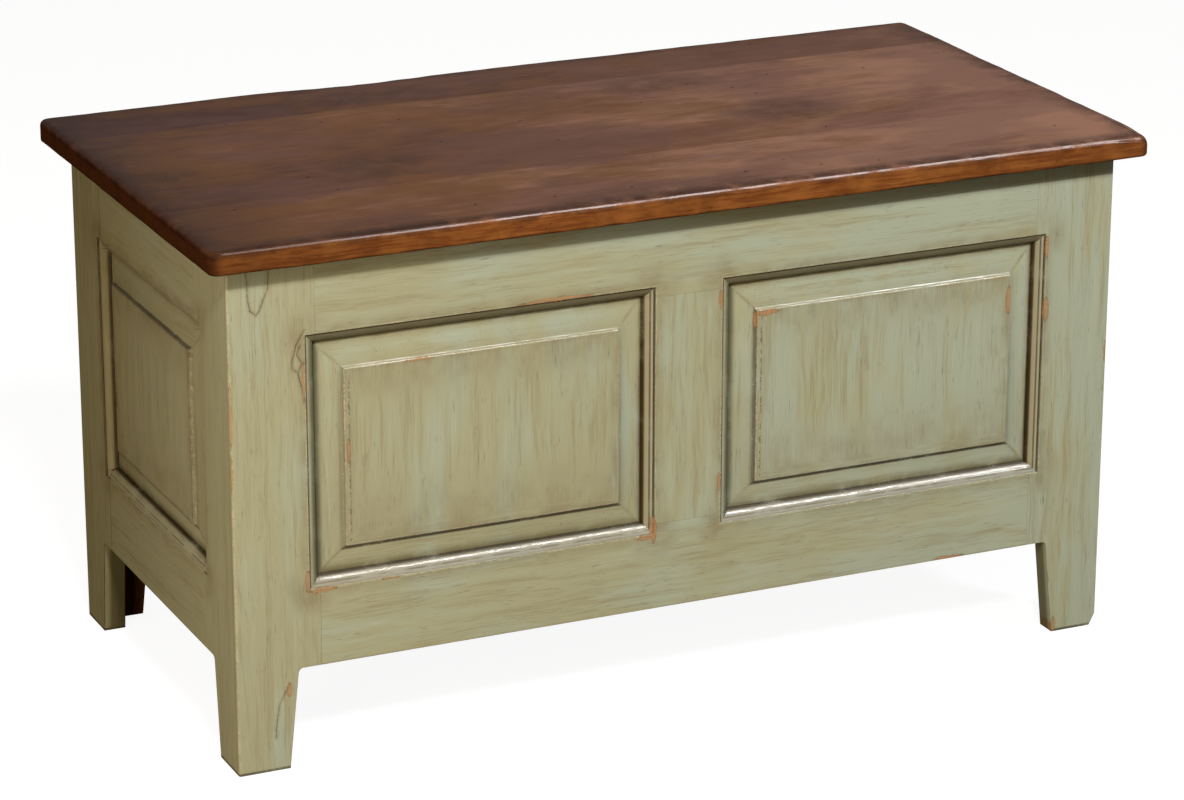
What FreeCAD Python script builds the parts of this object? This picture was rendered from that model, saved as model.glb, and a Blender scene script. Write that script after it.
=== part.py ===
import FreeCAD, Part
import math
import os

os.makedirs("parts", exist_ok=True)

V = FreeCAD.Vector

# A frame-and-panel blanket chest, in millimetres.
# X runs left to right, Y runs front to back, Z is up.
# The origin is on the floor, under the middle of the lid.

# Case
case_width = 914.0
case_depth = 444.0
case_height = 491.5
board_thickness = 22.0
rail_underside = 98.0
front_stile_face = 73.5
side_stile_face = 75.0
back_stile_face = 73.5
muntin_face = 70.0
top_rail_face = 72.5
bottom_rail_face = 75.5

# Legs, which are the lower ends of the stiles
leg_width_at_rail = 61.0
leg_width_at_floor = 50.5
leg_corner_radius = 5.0

# Moulding stuck on the inner edges of the front and side frames
moulding_width = 10.0
quirk_depth = 1.5
quirk_flat = 1.0

# Groove for the panels, and the tenons that line up with it
groove_width = 6.0
groove_depth = 10.0
tenon_length = 35.0
muntin_tenon_length = 25.0
tenon_shoulder = 2.0
tenon_haunch = 15.0
mortise_end_gap = 1.5

# Raised panels, and flat panels at the back
panel_edge_gap = 1.5
panel_fit = 0.15
field_margin = 36.5
field_recess = 1.0
field_shoulder = 3.5
bevel_land = 0.5

# Loose splines in the mitred corners
spline_thickness = 5.0
spline_width = 16.0
spline_end_gap = 0.5
spline_from_corner = 13.0
spline_foot_gap = 20.0
spline_top_gap = 15.0

# Bottom
ledger_size = 20.0
ledger_above_rail_underside = 5.0
ledger_gap = 0.5
bottom_thickness = 9.0
bottom_gap = 1.0

# Lid
lid_thickness = 22.0
lid_front_overhang = 28.5
lid_back_overhang = 28.5
lid_side_overhang = 24.0
lid_board_widths = (140.0, 126.0, 140.0)  # from the front; the back board takes the rest
lid_corner_radius = 11.0
lid_top_radius = 7.0
lid_bottom_radius = 2.5
tongue_thickness = 6.0
tongue_length = 8.0
tongue_end_gap = 0.5

# Pads between case and lid
pad_radius = 6.0
pad_thickness = 1.5

# Hinges
hinge_inset = 167.0
hinge_length = 64.0
hinge_leaf_thickness = 2.0
case_leaf_height = 28.0
lid_leaf_reach = 20.0
knuckle_count = 5
knuckle_radius = 4.5
knuckle_gap = 0.3
barrel_clearance = 0.8
hinge_pin_radius = 2.4
running_clearance = 0.05
pin_head_radius = 3.3
pin_head_thickness = 1.2
hinge_screw_pitch = 21.0
leaf_corner_radius = 2.0

# Lid stays
lid_opening_angle = 95.0
stay_radius = 150.0
stay_pivot_drop = 13.0
stay_stud_drop = 53.0
stay_arm_thickness = 2.0
stay_arm_half_width = 8.0
stay_wall_gap = 4.0
stay_slot_play = 0.3
stay_rivet_radius = 2.5
stay_rivet_head_radius = 4.5
stay_rivet_head_thickness = 1.2
stay_side_gap = 0.2
bracket_thickness = 2.0
bracket_length = 36.0
bracket_reach = 22.0
bracket_bend_radius = 3.0
side_plate_thickness = 2.0
side_plate_screw_pitch = 28.0
stud_neck_radius = 3.0
stud_tail_radius = 2.5
stud_head_radius = 5.5
stud_head_thickness = 2.0
bracket_screw_pitch = 22.0

# Countersunk screw holes in the leaves, brackets and plates
screw_hole_radius = 2.1
countersink_radius = 4.0

# Places worked out from the sizes above
cut_over = 1.0
opening_bottom = rail_underside + bottom_rail_face
opening_top = case_height - top_rail_face
groove_front = quirk_depth + moulding_width - quirk_flat
groove_back = groove_front + groove_width
lid_underside = case_height + pad_thickness
lid_top = lid_underside + lid_thickness
left_face = -case_width / 2
right_face = case_width / 2
lid_depth = lid_front_overhang + case_depth + lid_back_overhang
front_face = -lid_depth / 2 + lid_front_overhang
back_face = front_face + case_depth
inner_left = left_face + board_thickness
inner_front = front_face + board_thickness
inner_back = back_face - board_thickness
hinge_offset = knuckle_radius + barrel_clearance
hinge_y = back_face + hinge_offset
hinge_z = lid_underside - hinge_offset


def box(low, high):
    """A box between two corners."""
    size = V(*high) - V(*low)
    return Part.makeBox(size.x, size.y, size.z, V(*low))


def prism(points, direction):
    """A polygon pushed along a direction."""
    corners = [V(*point) for point in points]
    wire = Part.makePolygon(corners + corners[:1])
    return Part.Face(wire).extrude(V(*direction))


def obround(start, end, radius, thickness):
    """A plate with round ends, centred on the local X axis from start to end."""
    upper = [V(start, radius, 0), V(end, radius, 0)]
    lower = [V(end, -radius, 0), V(start, -radius, 0)]
    edges = [
        Part.LineSegment(*upper).toShape(),
        Part.Arc(upper[1], V(end + radius, 0, 0), lower[0]).toShape(),
        Part.LineSegment(*lower).toShape(),
        Part.Arc(lower[1], V(start - radius, 0, 0), upper[0]).toShape(),
    ]
    return Part.Face(Part.Wire(edges)).extrude(V(0, 0, thickness))


def cylinder(radius, length, base, axis):
    """A round bar from a base point along an axis."""
    return Part.makeCylinder(radius, length, V(*base), V(*axis))


def edges_along(shape, start, end):
    """The straight edges of a shape that lie on the line from start to end."""
    line = Part.LineSegment(V(*start), V(*end)).toShape()
    found = []
    for edge in shape.Edges:
        ends = [vertex.Point for vertex in edge.Vertexes]
        on_line = [Part.Vertex(point).distToShape(line)[0] < 1e-6 for point in ends]
        if len(ends) == 2 and all(on_line):
            found.append(edge)
    return found


def screw_hole(plate_thickness, head, direction):
    """A countersunk hole through a plate, from the side where the screw's head lies."""
    return Part.makeCone(countersink_radius, screw_hole_radius, plate_thickness, V(*head), V(*direction))


# Frames: each wall is made in its own frame, with u along X from its near corner,
# v along Y inward from its outer face, and Z up

def opening_profile(low, high, moulded):
    """The section that is cut away around an opening, as u and v points or arcs."""
    width = moulding_width
    back = board_thickness + cut_over
    radius = width - quirk_flat
    middle = math.radians(45)
    bulge_u = quirk_flat + radius * math.sin(middle)
    bulge_v = groove_front - radius * math.cos(middle)
    if moulded:
        front = [(0, -cut_over), (0, quirk_depth), (quirk_flat, quirk_depth)]
    else:
        front = [(width, -cut_over)]
    rear = [(width, groove_front), (width - groove_depth, groove_front)]
    rear += [(width - groove_depth, groove_back), (width, groove_back), (width, back)]
    near = [V(low + inset, depth, 0) for inset, depth in front + rear]
    far = [V(high - inset, depth, 0) for inset, depth in front + rear]
    edges = []
    for side in (near, far):
        for index in range(len(side) - 1):
            start, end = side[index], side[index + 1]
            if moulded and index == len(front) - 1:
                bulge = V(low + bulge_u if side is near else high - bulge_u, bulge_v, 0)
                edges.append(Part.Arc(start, bulge, end).toShape())
            else:
                edges.append(Part.LineSegment(start, end).toShape())
    edges.append(Part.LineSegment(near[0], far[0]).toShape())
    edges.append(Part.LineSegment(near[-1], far[-1]).toShape())
    return Part.Face(Part.Wire(Part.__sortEdges__(edges)))


def opening_cutter(opening, moulded):
    """What the moulding plane and the groove cutter take away, mitred in the corners."""
    u_low, u_high, z_low, z_high = opening
    upright = opening_profile(u_low, u_high, moulded)
    upright.translate(V(0, 0, z_low))
    upright = upright.extrude(V(0, 0, z_high - z_low))
    level = opening_profile(z_low, z_high, moulded)
    level.Placement = FreeCAD.Placement(V(u_low, 0, 0), FreeCAD.Rotation(V(0, 1, 0), -90))
    level = level.extrude(V(u_high - u_low, 0, 0))
    return upright.common(level)


def leg_cutter(full_width):
    """The stock beside the leg that is sawn away, with a small round at the top."""
    slope = (leg_width_at_rail - leg_width_at_floor) / rail_underside
    outer = full_width + cut_over
    corner = (leg_width_at_rail, -cut_over, rail_underside)
    points = [
        (leg_width_at_floor - slope * cut_over, -cut_over, -cut_over),
        corner,
        (outer, -cut_over, rail_underside),
        (outer, -cut_over, -cut_over),
    ]
    depth = board_thickness + 2 * cut_over
    cutter = prism(points, (0, depth, 0))
    far_corner = (corner[0], corner[1] + depth, corner[2])
    return cutter.makeFillet(leg_corner_radius, edges_along(cutter, corner, far_corner))


def tongue_box(u_low, u_high, z_low, z_high):
    """A tenon or mortise, in line with the panel groove."""
    return box((u_low, groove_front, z_low), (u_high, groove_back, z_high))


def rail_tenon_heights():
    """Low and high Z of the bottom rail's and the top rail's tenons."""
    bottom = (rail_underside + tenon_haunch, opening_bottom - tenon_shoulder)
    top = (opening_top + tenon_shoulder, case_height - tenon_haunch)
    return bottom, top


def stile(face_width, cutters):
    """The near stile, mitred at its outer edge and sawn to a leg below the rail."""
    full = face_width + moulding_width
    outline = [(0, 0, 0), (full, 0, 0), (full, board_thickness, 0)]
    outline.append((board_thickness, board_thickness, 0))
    body = prism(outline, (0, 0, case_height)).cut(leg_cutter(full))
    depth = tenon_length + mortise_end_gap
    mortises = [tongue_box(full - depth, full, *span) for span in rail_tenon_heights()]
    return body.cut(cutters + mortises)


def rail(u_low, u_high, z_low, z_high, tenon_span, cutters):
    """A rail between two stiles, with a stub tenon at each end."""
    body = box((u_low, 0, z_low), (u_high, board_thickness, z_high)).cut(cutters)
    tenons = [
        tongue_box(u_low - tenon_length, u_low, *tenon_span),
        tongue_box(u_high, u_high + tenon_length, *tenon_span),
    ]
    return body.fuse(tenons).removeSplitter()


def muntin(middle, rail_low, rail_high, cutters):
    """The upright between two openings, tenoned into both rails."""
    half = muntin_face / 2
    full = half + moulding_width
    body = box((middle - full, 0, rail_low), (middle + full, board_thickness, rail_high))
    body = body.cut(cutters)
    low_tenon = (rail_low - muntin_tenon_length, rail_low)
    high_tenon = (rail_high, rail_high + muntin_tenon_length)
    tenons = [tongue_box(middle - half, middle + half, *span) for span in (low_tenon, high_tenon)]
    return body.fuse(tenons).removeSplitter()


def raised_panel(opening):
    """A panel with a tongue in the groove, sloping margins and a raised field."""
    u_low, u_high, z_low, z_high = opening
    front = groove_front + panel_fit
    back = groove_back - panel_fit
    brow = field_recess + field_shoulder
    foot_inset = moulding_width + bevel_land
    slab = box((u_low + panel_edge_gap, front, z_low + panel_edge_gap),
               (u_high - panel_edge_gap, back, z_high - panel_edge_gap))
    margin = Part.makeWedge(
        u_low + field_margin, brow, z_low + field_margin,
        z_low + foot_inset, u_low + foot_inset,
        u_high - field_margin, front, z_high - field_margin,
        z_high - foot_inset, u_high - foot_inset)
    field = box((u_low + field_margin, field_recess, z_low + field_margin),
                (u_high - field_margin, back, z_high - field_margin))
    return slab.fuse([margin, field]).removeSplitter()


def flat_panel(opening):
    """A flat panel that fills the grooves, less its edge gap."""
    u_low, u_high, z_low, z_high = opening
    inset = moulding_width - groove_depth + panel_edge_gap
    low = (u_low + inset, groove_front + panel_fit, z_low + inset)
    return box(low, (u_high - inset, groove_back - panel_fit, z_high - inset))


def wall(width, stile_face, with_muntin, moulded):
    """One wall of the case, as a dictionary of its pieces in the wall's own frame."""
    middle = width / 2
    if with_muntin:
        spans = [(stile_face, middle - muntin_face / 2)]
        spans.append((middle + muntin_face / 2, width - stile_face))
    else:
        spans = [(stile_face, width - stile_face)]
    openings = [(low, high, opening_bottom, opening_top) for low, high in spans]
    cutters = [opening_cutter(opening, moulded) for opening in openings]
    near = stile(stile_face, cutters[:1])
    far = near.mirror(V(middle, 0, 0), V(1, 0, 0))
    full = stile_face + moulding_width
    rail_high = opening_bottom + moulding_width
    rail_low = opening_top - moulding_width
    bottom_tenon, top_tenon = rail_tenon_heights()
    bottom = rail(full, width - full, rail_underside, rail_high, bottom_tenon, cutters)
    top = rail(full, width - full, rail_low, case_height, top_tenon, cutters)
    pieces = {"near_stile": near, "far_stile": far}
    if with_muntin:
        pieces["muntin"] = muntin(middle, rail_high, rail_low, cutters)
        depth = muntin_tenon_length + mortise_end_gap
        half = muntin_face / 2
        bottom = bottom.cut(tongue_box(middle - half, middle + half, rail_high - depth, rail_high))
        top = top.cut(tongue_box(middle - half, middle + half, rail_low, rail_low + depth))
    pieces["bottom_rail"] = bottom
    pieces["top_rail"] = top
    make_panel = raised_panel if moulded else flat_panel
    panel_names = ["near_panel", "far_panel"] if with_muntin else ["panel"]
    for name, opening in zip(panel_names, openings):
        pieces[name] = make_panel(opening)
    return pieces


def stand_wall(pieces, names, corner, quarter_turns):
    """Turn a wall's pieces about Z, move them to their corner, and name them."""
    turn = FreeCAD.Rotation(V(0, 0, 1), 90 * quarter_turns)
    place = FreeCAD.Placement(V(*corner), turn)
    return {names[key]: shape.transformed(place.toMatrix()) for key, shape in pieces.items()}


def side_names(side, near, far):
    """Node names for the pieces of a side wall."""
    names = {key: f"{side}_{key}" for key in ("bottom_rail", "top_rail", "panel")}
    names["near_stile"] = f"{side}_{near}_stile"
    names["far_stile"] = f"{side}_{far}_stile"
    return names


def long_names(wall_name, near, far):
    """Node names for the pieces of the front or back wall."""
    names = {key: f"{wall_name}_{key}" for key in ("bottom_rail", "top_rail", "muntin")}
    for key, side in (("near", near), ("far", far)):
        names[f"{key}_stile"] = f"{wall_name}_{side}_stile"
        names[f"{key}_panel"] = f"{wall_name}_{side}_panel"
    return names


nodes = {}

# Walls
front = wall(case_width, front_stile_face, True, True)
nodes.update(stand_wall(front, long_names("front", "left", "right"), (left_face, front_face, 0), 0))
side = wall(case_depth, side_stile_face, False, True)
nodes.update(stand_wall(side, side_names("right", "front", "back"), (right_face, front_face, 0), 1))
nodes.update(stand_wall(side, side_names("left", "back", "front"), (left_face, back_face, 0), 3))
back = wall(case_width, back_stile_face, True, False)
nodes.update(stand_wall(back, long_names("back", "right", "left"), (right_face, back_face, 0), 2))


# Corner splines, each across its mitre

def corner_spline(x_sign, y_sign, end_gap):
    """A loose tongue square to the mitre of one corner, with a gap past its edges."""
    height = case_height - spline_foot_gap - spline_top_gap
    half_width = spline_width / 2 + end_gap
    half_thickness = spline_thickness / 2
    low = (-half_width, -half_thickness, spline_foot_gap - end_gap)
    bar = box(low, (half_width, half_thickness, spline_foot_gap + height + end_gap))
    bar.rotate(V(0, 0, 0), V(0, 0, 1), 45 * x_sign * y_sign * -1)
    corner_x = x_sign * (case_width / 2 - spline_from_corner)
    corner_y = front_face + spline_from_corner if y_sign < 0 else back_face - spline_from_corner
    bar.translate(V(corner_x, corner_y, 0))
    return bar


corners = [(-1, -1, "front_left_stile", "left_front_stile"),
           (1, -1, "front_right_stile", "right_front_stile"),
           (-1, 1, "back_left_stile", "left_back_stile"),
           (1, 1, "back_right_stile", "right_back_stile")]
splines = []
for x_sign, y_sign, *stile_names in corners:
    splines.append(corner_spline(x_sign, y_sign, 0.0))
    slot = corner_spline(x_sign, y_sign, spline_end_gap)
    for name in stile_names:
        nodes[name] = nodes[name].cut(slot)
nodes["corner_splines"] = Part.makeCompound(splines)

# Bottom board on its ledgers
ledger_low = rail_underside + ledger_above_rail_underside
ledger_high = ledger_low + ledger_size
long_half = -inner_left - ledger_gap
for name, y_low in (("front_ledger", inner_front), ("back_ledger", inner_back - ledger_size)):
    low = (-long_half, y_low, ledger_low)
    nodes[name] = box(low, (long_half, y_low + ledger_size, ledger_high))
side_low = inner_front + ledger_size + ledger_gap
side_high = inner_back - ledger_size - ledger_gap
for name, x_low in (("left_ledger", inner_left), ("right_ledger", -inner_left - ledger_size)):
    low = (x_low, side_low, ledger_low)
    nodes[name] = box(low, (x_low + ledger_size, side_high, ledger_high))
board_low = (inner_left + bottom_gap, inner_front + bottom_gap, ledger_high)
board_high = (-inner_left - bottom_gap, inner_back - bottom_gap, ledger_high + bottom_thickness)
nodes["bottom_board"] = box(board_low, board_high)

# Pads on the corners of the case's top edge
pads = []
for x_sign in (-1, 1):
    for y in (front_face + board_thickness / 2, back_face - board_thickness / 2):
        x = x_sign * (case_width - board_thickness) / 2
        pads.append(cylinder(pad_radius, pad_thickness, (x, y, case_height), (0, 0, 1)))
nodes["lid_pads"] = Part.makeCompound(pads)

# Lid, made whole and then parted into its boards
lid_half_width = case_width / 2 + lid_side_overhang
lid_front = front_face - lid_front_overhang
lid_back = lid_front + lid_depth
lid = box((-lid_half_width, lid_front, lid_underside), (lid_half_width, lid_back, lid_top))
uprights = [edge for edge in lid.Edges if abs(edge.Length - lid_thickness) < 1e-6]
lid = lid.makeFillet(lid_corner_radius, uprights)
top_rim = [edge for edge in lid.Edges if abs(edge.BoundBox.ZMin - lid_top) < 1e-6]
lid = lid.makeFillet(lid_top_radius, top_rim)
bottom_rim = [edge for edge in lid.Edges if abs(edge.BoundBox.ZMax - lid_underside) < 1e-6]
lid = lid.makeFillet(lid_bottom_radius, bottom_rim)


def lid_board(index):
    """One board of the lid, with a tongue at the back and a groove at the front."""
    first = index == 0
    last = index == len(lid_board_widths)
    joint = lid_front + sum(lid_board_widths[:index])
    y_low = joint - (cut_over if first else 0)
    y_high = lid_back + cut_over if last else joint + lid_board_widths[index]
    half = lid_half_width + cut_over
    z_low = lid_underside - cut_over
    z_high = lid_top + cut_over
    tongue_low = lid_underside + (lid_thickness - tongue_thickness) / 2
    tongue_high = tongue_low + tongue_thickness
    stock = box((-half, y_low, z_low), (half, y_high, z_high))
    if not last:
        stock = stock.fuse(box((-half, y_high, tongue_low), (half, y_high + tongue_length, tongue_high)))
    if not first:
        groove_end = y_low + tongue_length + tongue_end_gap
        stock = stock.cut(box((-half, y_low, tongue_low), (half, groove_end, tongue_high)))
    return lid.common(stock)


for index, place in enumerate(("front", "front_middle", "back_middle", "back")):
    nodes[f"lid_{place}_board"] = lid_board(index)


# Hinges: the case leaf stands on the back of the case, the lid leaf lies under the overhang

def knuckles(indexes):
    """The knuckles of one leaf, about the local X axis."""
    pitch = hinge_length / knuckle_count
    solids = []
    for index in indexes:
        start = -hinge_length / 2 + index * pitch + knuckle_gap / 2
        solids.append(cylinder(knuckle_radius, pitch - knuckle_gap, (start, 0, 0), (1, 0, 0)))
    return solids


def knuckle_notches(indexes, low, high):
    """Room for the other leaf's knuckles, between two Y and Z limits."""
    pitch = hinge_length / knuckle_count
    boxes = []
    for index in indexes:
        start = -hinge_length / 2 + index * pitch - knuckle_gap / 2
        boxes.append(box((start, *low), (start + pitch + knuckle_gap, *high)))
    return boxes


def hinge_leaf(plate, own, other, notch_low, notch_high):
    """A plate with its own knuckles, cleared for the others and bored for the pin."""
    bore_radius = hinge_pin_radius + running_clearance
    bore = cylinder(bore_radius, hinge_length, (-hinge_length / 2, 0, 0), (1, 0, 0))
    cleared = plate.cut(knuckle_notches(other, notch_low, notch_high))
    return cleared.fuse(knuckles(own)).cut(bore).removeSplitter()


def leaf_screw_holes(y, z, direction):
    """A row of three countersunk holes along a leaf."""
    steps = (-hinge_screw_pitch, 0, hinge_screw_pitch)
    return [screw_hole(hinge_leaf_thickness, (step, y, z), direction) for step in steps]


case_knuckles = range(0, knuckle_count, 2)
lid_knuckles = range(1, knuckle_count, 2)
reach = knuckle_radius + knuckle_gap
past = hinge_offset + cut_over
half_hinge = hinge_length / 2
leaf_face = -hinge_offset + hinge_leaf_thickness
case_plate = box((-half_hinge, -hinge_offset, -case_leaf_height), (half_hinge, leaf_face, 0))
lower_corners = [edge for edge in case_plate.Edges
                 if abs(edge.Length - hinge_leaf_thickness) < 1e-6
                 and edge.CenterOfMass.z < -knuckle_radius]
case_plate = case_plate.makeFillet(leaf_corner_radius, lower_corners)
screw_z = -(case_leaf_height + reach) / 2
case_plate = case_plate.cut(leaf_screw_holes(leaf_face, screw_z, (0, -1, 0)))
case_leaf = hinge_leaf(case_plate, case_knuckles, lid_knuckles, (-past, -reach), (past, past))
lid_plate = box((-half_hinge, 0, -leaf_face), (half_hinge, lid_leaf_reach, hinge_offset))
outer_corners = [edge for edge in lid_plate.Edges
                 if abs(edge.Length - hinge_leaf_thickness) < 1e-6
                 and edge.CenterOfMass.y > knuckle_radius]
lid_plate = lid_plate.makeFillet(leaf_corner_radius, outer_corners)
screw_y = (lid_leaf_reach + reach) / 2
lid_plate = lid_plate.cut(leaf_screw_holes(screw_y, -leaf_face, (0, 0, 1)))
lid_leaf = hinge_leaf(lid_plate, lid_knuckles, case_knuckles, (-past, -past), (reach, past))
hinge_pin = cylinder(hinge_pin_radius, hinge_length, (-half_hinge, 0, 0), (1, 0, 0))
pin_heads = [cylinder(pin_head_radius, pin_head_thickness, (half_hinge, 0, 0), (1, 0, 0)),
             cylinder(pin_head_radius, pin_head_thickness, (-half_hinge, 0, 0), (-1, 0, 0))]
hinge_pin = hinge_pin.fuse(pin_heads).removeSplitter()

for side_name, x in (("left", left_face + hinge_inset), ("right", right_face - hinge_inset)):
    seat = V(x, hinge_y, hinge_z)
    for part_name, shape in (("case_leaf", case_leaf), ("lid_leaf", lid_leaf), ("pin", hinge_pin)):
        nodes[f"{side_name}_hinge_{part_name}"] = shape.translated(seat)


# Lid stays: a slotted arm hangs from the lid and slides on a stud in the side.
# Pivot and stud lie equally far from the hinge pin, so the arm turns half as far as the lid.

def round_hinge(drop):
    """Y and Z of a point in front of the hinge pin, at the stay radius and a drop below the lid."""
    fall = drop - hinge_offset
    return hinge_y - math.sqrt(stay_radius ** 2 - fall ** 2), hinge_z - fall


pivot_y, pivot_z = round_hinge(stay_pivot_drop)
stud_y, stud_z = round_hinge(stay_stud_drop)
shut_angle = math.asin((stay_stud_drop - hinge_offset) / stay_radius)
shut_angle -= math.asin((stay_pivot_drop - hinge_offset) / stay_radius)
open_angle = shut_angle + math.radians(lid_opening_angle)
reach_shut = 2 * stay_radius * math.sin(shut_angle / 2)
reach_open = 2 * stay_radius * math.sin(open_angle / 2)
arm_across = (stud_y - pivot_y) / reach_shut
arm_up = (stud_z - pivot_z) / reach_shut
wall_x = inner_left
arm_x = wall_x + stay_wall_gap
tab_x = arm_x + stay_arm_thickness + stay_side_gap
rivet_hole_radius = stay_rivet_radius + running_clearance


def stay_arm():
    """The slotted arm, from its pivot in the lid bracket down past the stud."""
    slot_radius = stud_neck_radius + stay_slot_play
    arm = obround(0, reach_open, stay_arm_half_width, stay_arm_thickness)
    slot = obround(reach_shut, reach_open, slot_radius, stay_arm_thickness)
    eye = cylinder(rivet_hole_radius, stay_arm_thickness, (0, 0, 0), (0, 0, 1))
    arm = arm.cut([slot, eye])
    along = V(0, arm_across, arm_up)
    turn = FreeCAD.Rotation(along, V(1, 0, 0).cross(along), V(1, 0, 0), "XYZ")
    arm.Placement = FreeCAD.Placement(V(arm_x, pivot_y, pivot_z), turn)
    return arm


def lid_bracket():
    """An angle under the lid, with a round-ended ear that carries the arm."""
    ear_foot = pivot_z - stay_arm_half_width
    low_y = pivot_y - bracket_length / 2
    profile = [
        (tab_x, low_y, ear_foot),
        (tab_x, low_y, lid_underside),
        (tab_x + bracket_reach, low_y, lid_underside),
        (tab_x + bracket_reach, low_y, lid_underside - bracket_thickness),
        (tab_x + bracket_thickness, low_y, lid_underside - bracket_thickness),
        (tab_x + bracket_thickness, low_y, ear_foot),
    ]
    angle = prism(profile, (0, bracket_length, 0))
    bend = edges_along(angle, profile[1], (tab_x, low_y + bracket_length, lid_underside))
    angle = angle.makeFillet(bracket_bend_radius, bend)
    ear = cylinder(stay_arm_half_width, bracket_reach, (tab_x, pivot_y, pivot_z), (1, 0, 0))
    neck = box((tab_x, pivot_y - stay_arm_half_width, pivot_z),
               (tab_x + bracket_reach, pivot_y + stay_arm_half_width, lid_underside))
    flange = box((tab_x, low_y, lid_underside - bracket_bend_radius - cut_over),
                 (tab_x + bracket_reach, low_y + bracket_length, lid_underside))
    bracket = angle.common(ear.fuse([neck, flange]))
    holes = [cylinder(rivet_hole_radius, bracket_thickness, (tab_x, pivot_y, pivot_z), (1, 0, 0))]
    flange_middle = tab_x + (bracket_thickness + bracket_reach) / 2
    flange_face = lid_underside - bracket_thickness
    for step in (-bracket_screw_pitch / 2, bracket_screw_pitch / 2):
        head = (flange_middle, pivot_y + step, flange_face)
        holes.append(screw_hole(bracket_thickness, head, (0, 0, 1)))
    return bracket.cut(holes)


def stay_rivet():
    """The rivet through the arm's eye and the bracket's ear."""
    start = arm_x - stay_side_gap
    length = stay_side_gap * 2 + stay_arm_thickness + bracket_thickness
    shank = cylinder(stay_rivet_radius, length, (start, pivot_y, pivot_z), (1, 0, 0))
    heads = []
    for x, way in ((start, -1), (start + length, 1)):
        base = (x, pivot_y, pivot_z)
        heads.append(cylinder(stay_rivet_head_radius, stay_rivet_head_thickness, base, (way, 0, 0)))
    return shank.fuse(heads).removeSplitter()


def side_plate():
    """The plate on the top rail's inner face that holds the stud between two screws."""
    half = side_plate_screw_pitch / 2
    plate = obround(-half, half, stay_arm_half_width, side_plate_thickness)
    stud_hole_radius = stud_tail_radius + running_clearance
    holes = [cylinder(stud_hole_radius, side_plate_thickness, (0, 0, 0), (0, 0, 1))]
    for step in (-half, half):
        head = (step, 0, side_plate_thickness)
        holes.append(screw_hole(side_plate_thickness, head, (0, 0, -1)))
    plate = plate.cut(holes)
    turn = FreeCAD.Rotation(V(0, 1, 0), V(0, 0, 1), V(1, 0, 0), "XYZ")
    plate.Placement = FreeCAD.Placement(V(wall_x, stud_y, stud_z), turn)
    return plate


def stay_stud():
    """The headed stud that the slot slides on."""
    face = wall_x + side_plate_thickness
    neck_length = tab_x - face
    tail = cylinder(stud_tail_radius, side_plate_thickness, (wall_x, stud_y, stud_z), (1, 0, 0))
    neck = cylinder(stud_neck_radius, neck_length, (face, stud_y, stud_z), (1, 0, 0))
    head = cylinder(stud_head_radius, stud_head_thickness, (tab_x, stud_y, stud_z), (1, 0, 0))
    return tail.fuse([neck, head]).removeSplitter()


stay_pieces = {"arm": stay_arm(), "lid_bracket": lid_bracket(), "rivet": stay_rivet(),
               "side_plate": side_plate(), "stud": stay_stud()}
for part_name, shape in stay_pieces.items():
    nodes[f"left_stay_{part_name}"] = shape
    nodes[f"right_stay_{part_name}"] = shape.mirror(V(0, 0, 0), V(1, 0, 0))

for name, shape in nodes.items():
    if not shape.isValid() or not shape.Solids:
        raise RuntimeError(f"{name} isn't a valid solid")
    shape.exportStep(f"parts/{name}.step")

print(len(nodes), "nodes")
print(f"hinge axis y {hinge_y:.2f} z {hinge_z:.2f}")
print(f"stay pivot y {pivot_y:.3f} z {pivot_z:.3f}, stud y {stud_y:.3f} z {stud_z:.3f}")
print(f"stay reach shut {reach_shut:.2f} open {reach_open:.2f}")
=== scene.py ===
# %% [markdown]
# # A painted blanket chest
#
# This lesson dresses the plain model of a frame-and-panel chest. The case is
# sage green paint under a brown glaze, rubbed through to the wood here and
# there, and the lid is a board of dark stained planks with hand-worn edges.
# The plain model comes first: it says where every piece is, and it opens and
# shuts, so everything made here takes its place and size from it.

# %% Load the plain model
import math
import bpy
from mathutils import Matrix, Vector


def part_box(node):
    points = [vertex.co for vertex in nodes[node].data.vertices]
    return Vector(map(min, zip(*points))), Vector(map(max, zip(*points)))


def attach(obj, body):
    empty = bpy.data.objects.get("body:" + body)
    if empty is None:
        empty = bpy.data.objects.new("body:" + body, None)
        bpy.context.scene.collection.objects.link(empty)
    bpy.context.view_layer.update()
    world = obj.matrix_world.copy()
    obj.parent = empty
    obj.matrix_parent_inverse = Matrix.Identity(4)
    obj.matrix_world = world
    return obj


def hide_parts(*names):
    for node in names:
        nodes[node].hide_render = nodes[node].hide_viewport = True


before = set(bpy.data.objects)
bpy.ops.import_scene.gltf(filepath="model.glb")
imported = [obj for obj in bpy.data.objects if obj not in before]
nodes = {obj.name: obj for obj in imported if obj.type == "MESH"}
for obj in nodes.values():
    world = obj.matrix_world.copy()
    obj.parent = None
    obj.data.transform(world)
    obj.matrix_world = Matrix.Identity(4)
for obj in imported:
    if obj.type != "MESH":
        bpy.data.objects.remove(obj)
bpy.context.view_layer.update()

from types import SimpleNamespace

import bmesh
import bpy
from mathutils import Vector, noise

# %% [markdown]
# ## Sizes taken from the model
#
# The lesson works in metres for places and in millimetres inside the
# materials, because paint and wood grain are easier to think about in
# millimetres. The box of a named piece gives the faces of the case, the
# openings in its frames, and the lid.

# %% Read the main sizes
MM = 0.001


def box_mm(name):
    """The lowest and highest corner of a piece, in millimetres."""
    low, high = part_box(name)
    return Vector(low) / MM, Vector(high) / MM


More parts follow.
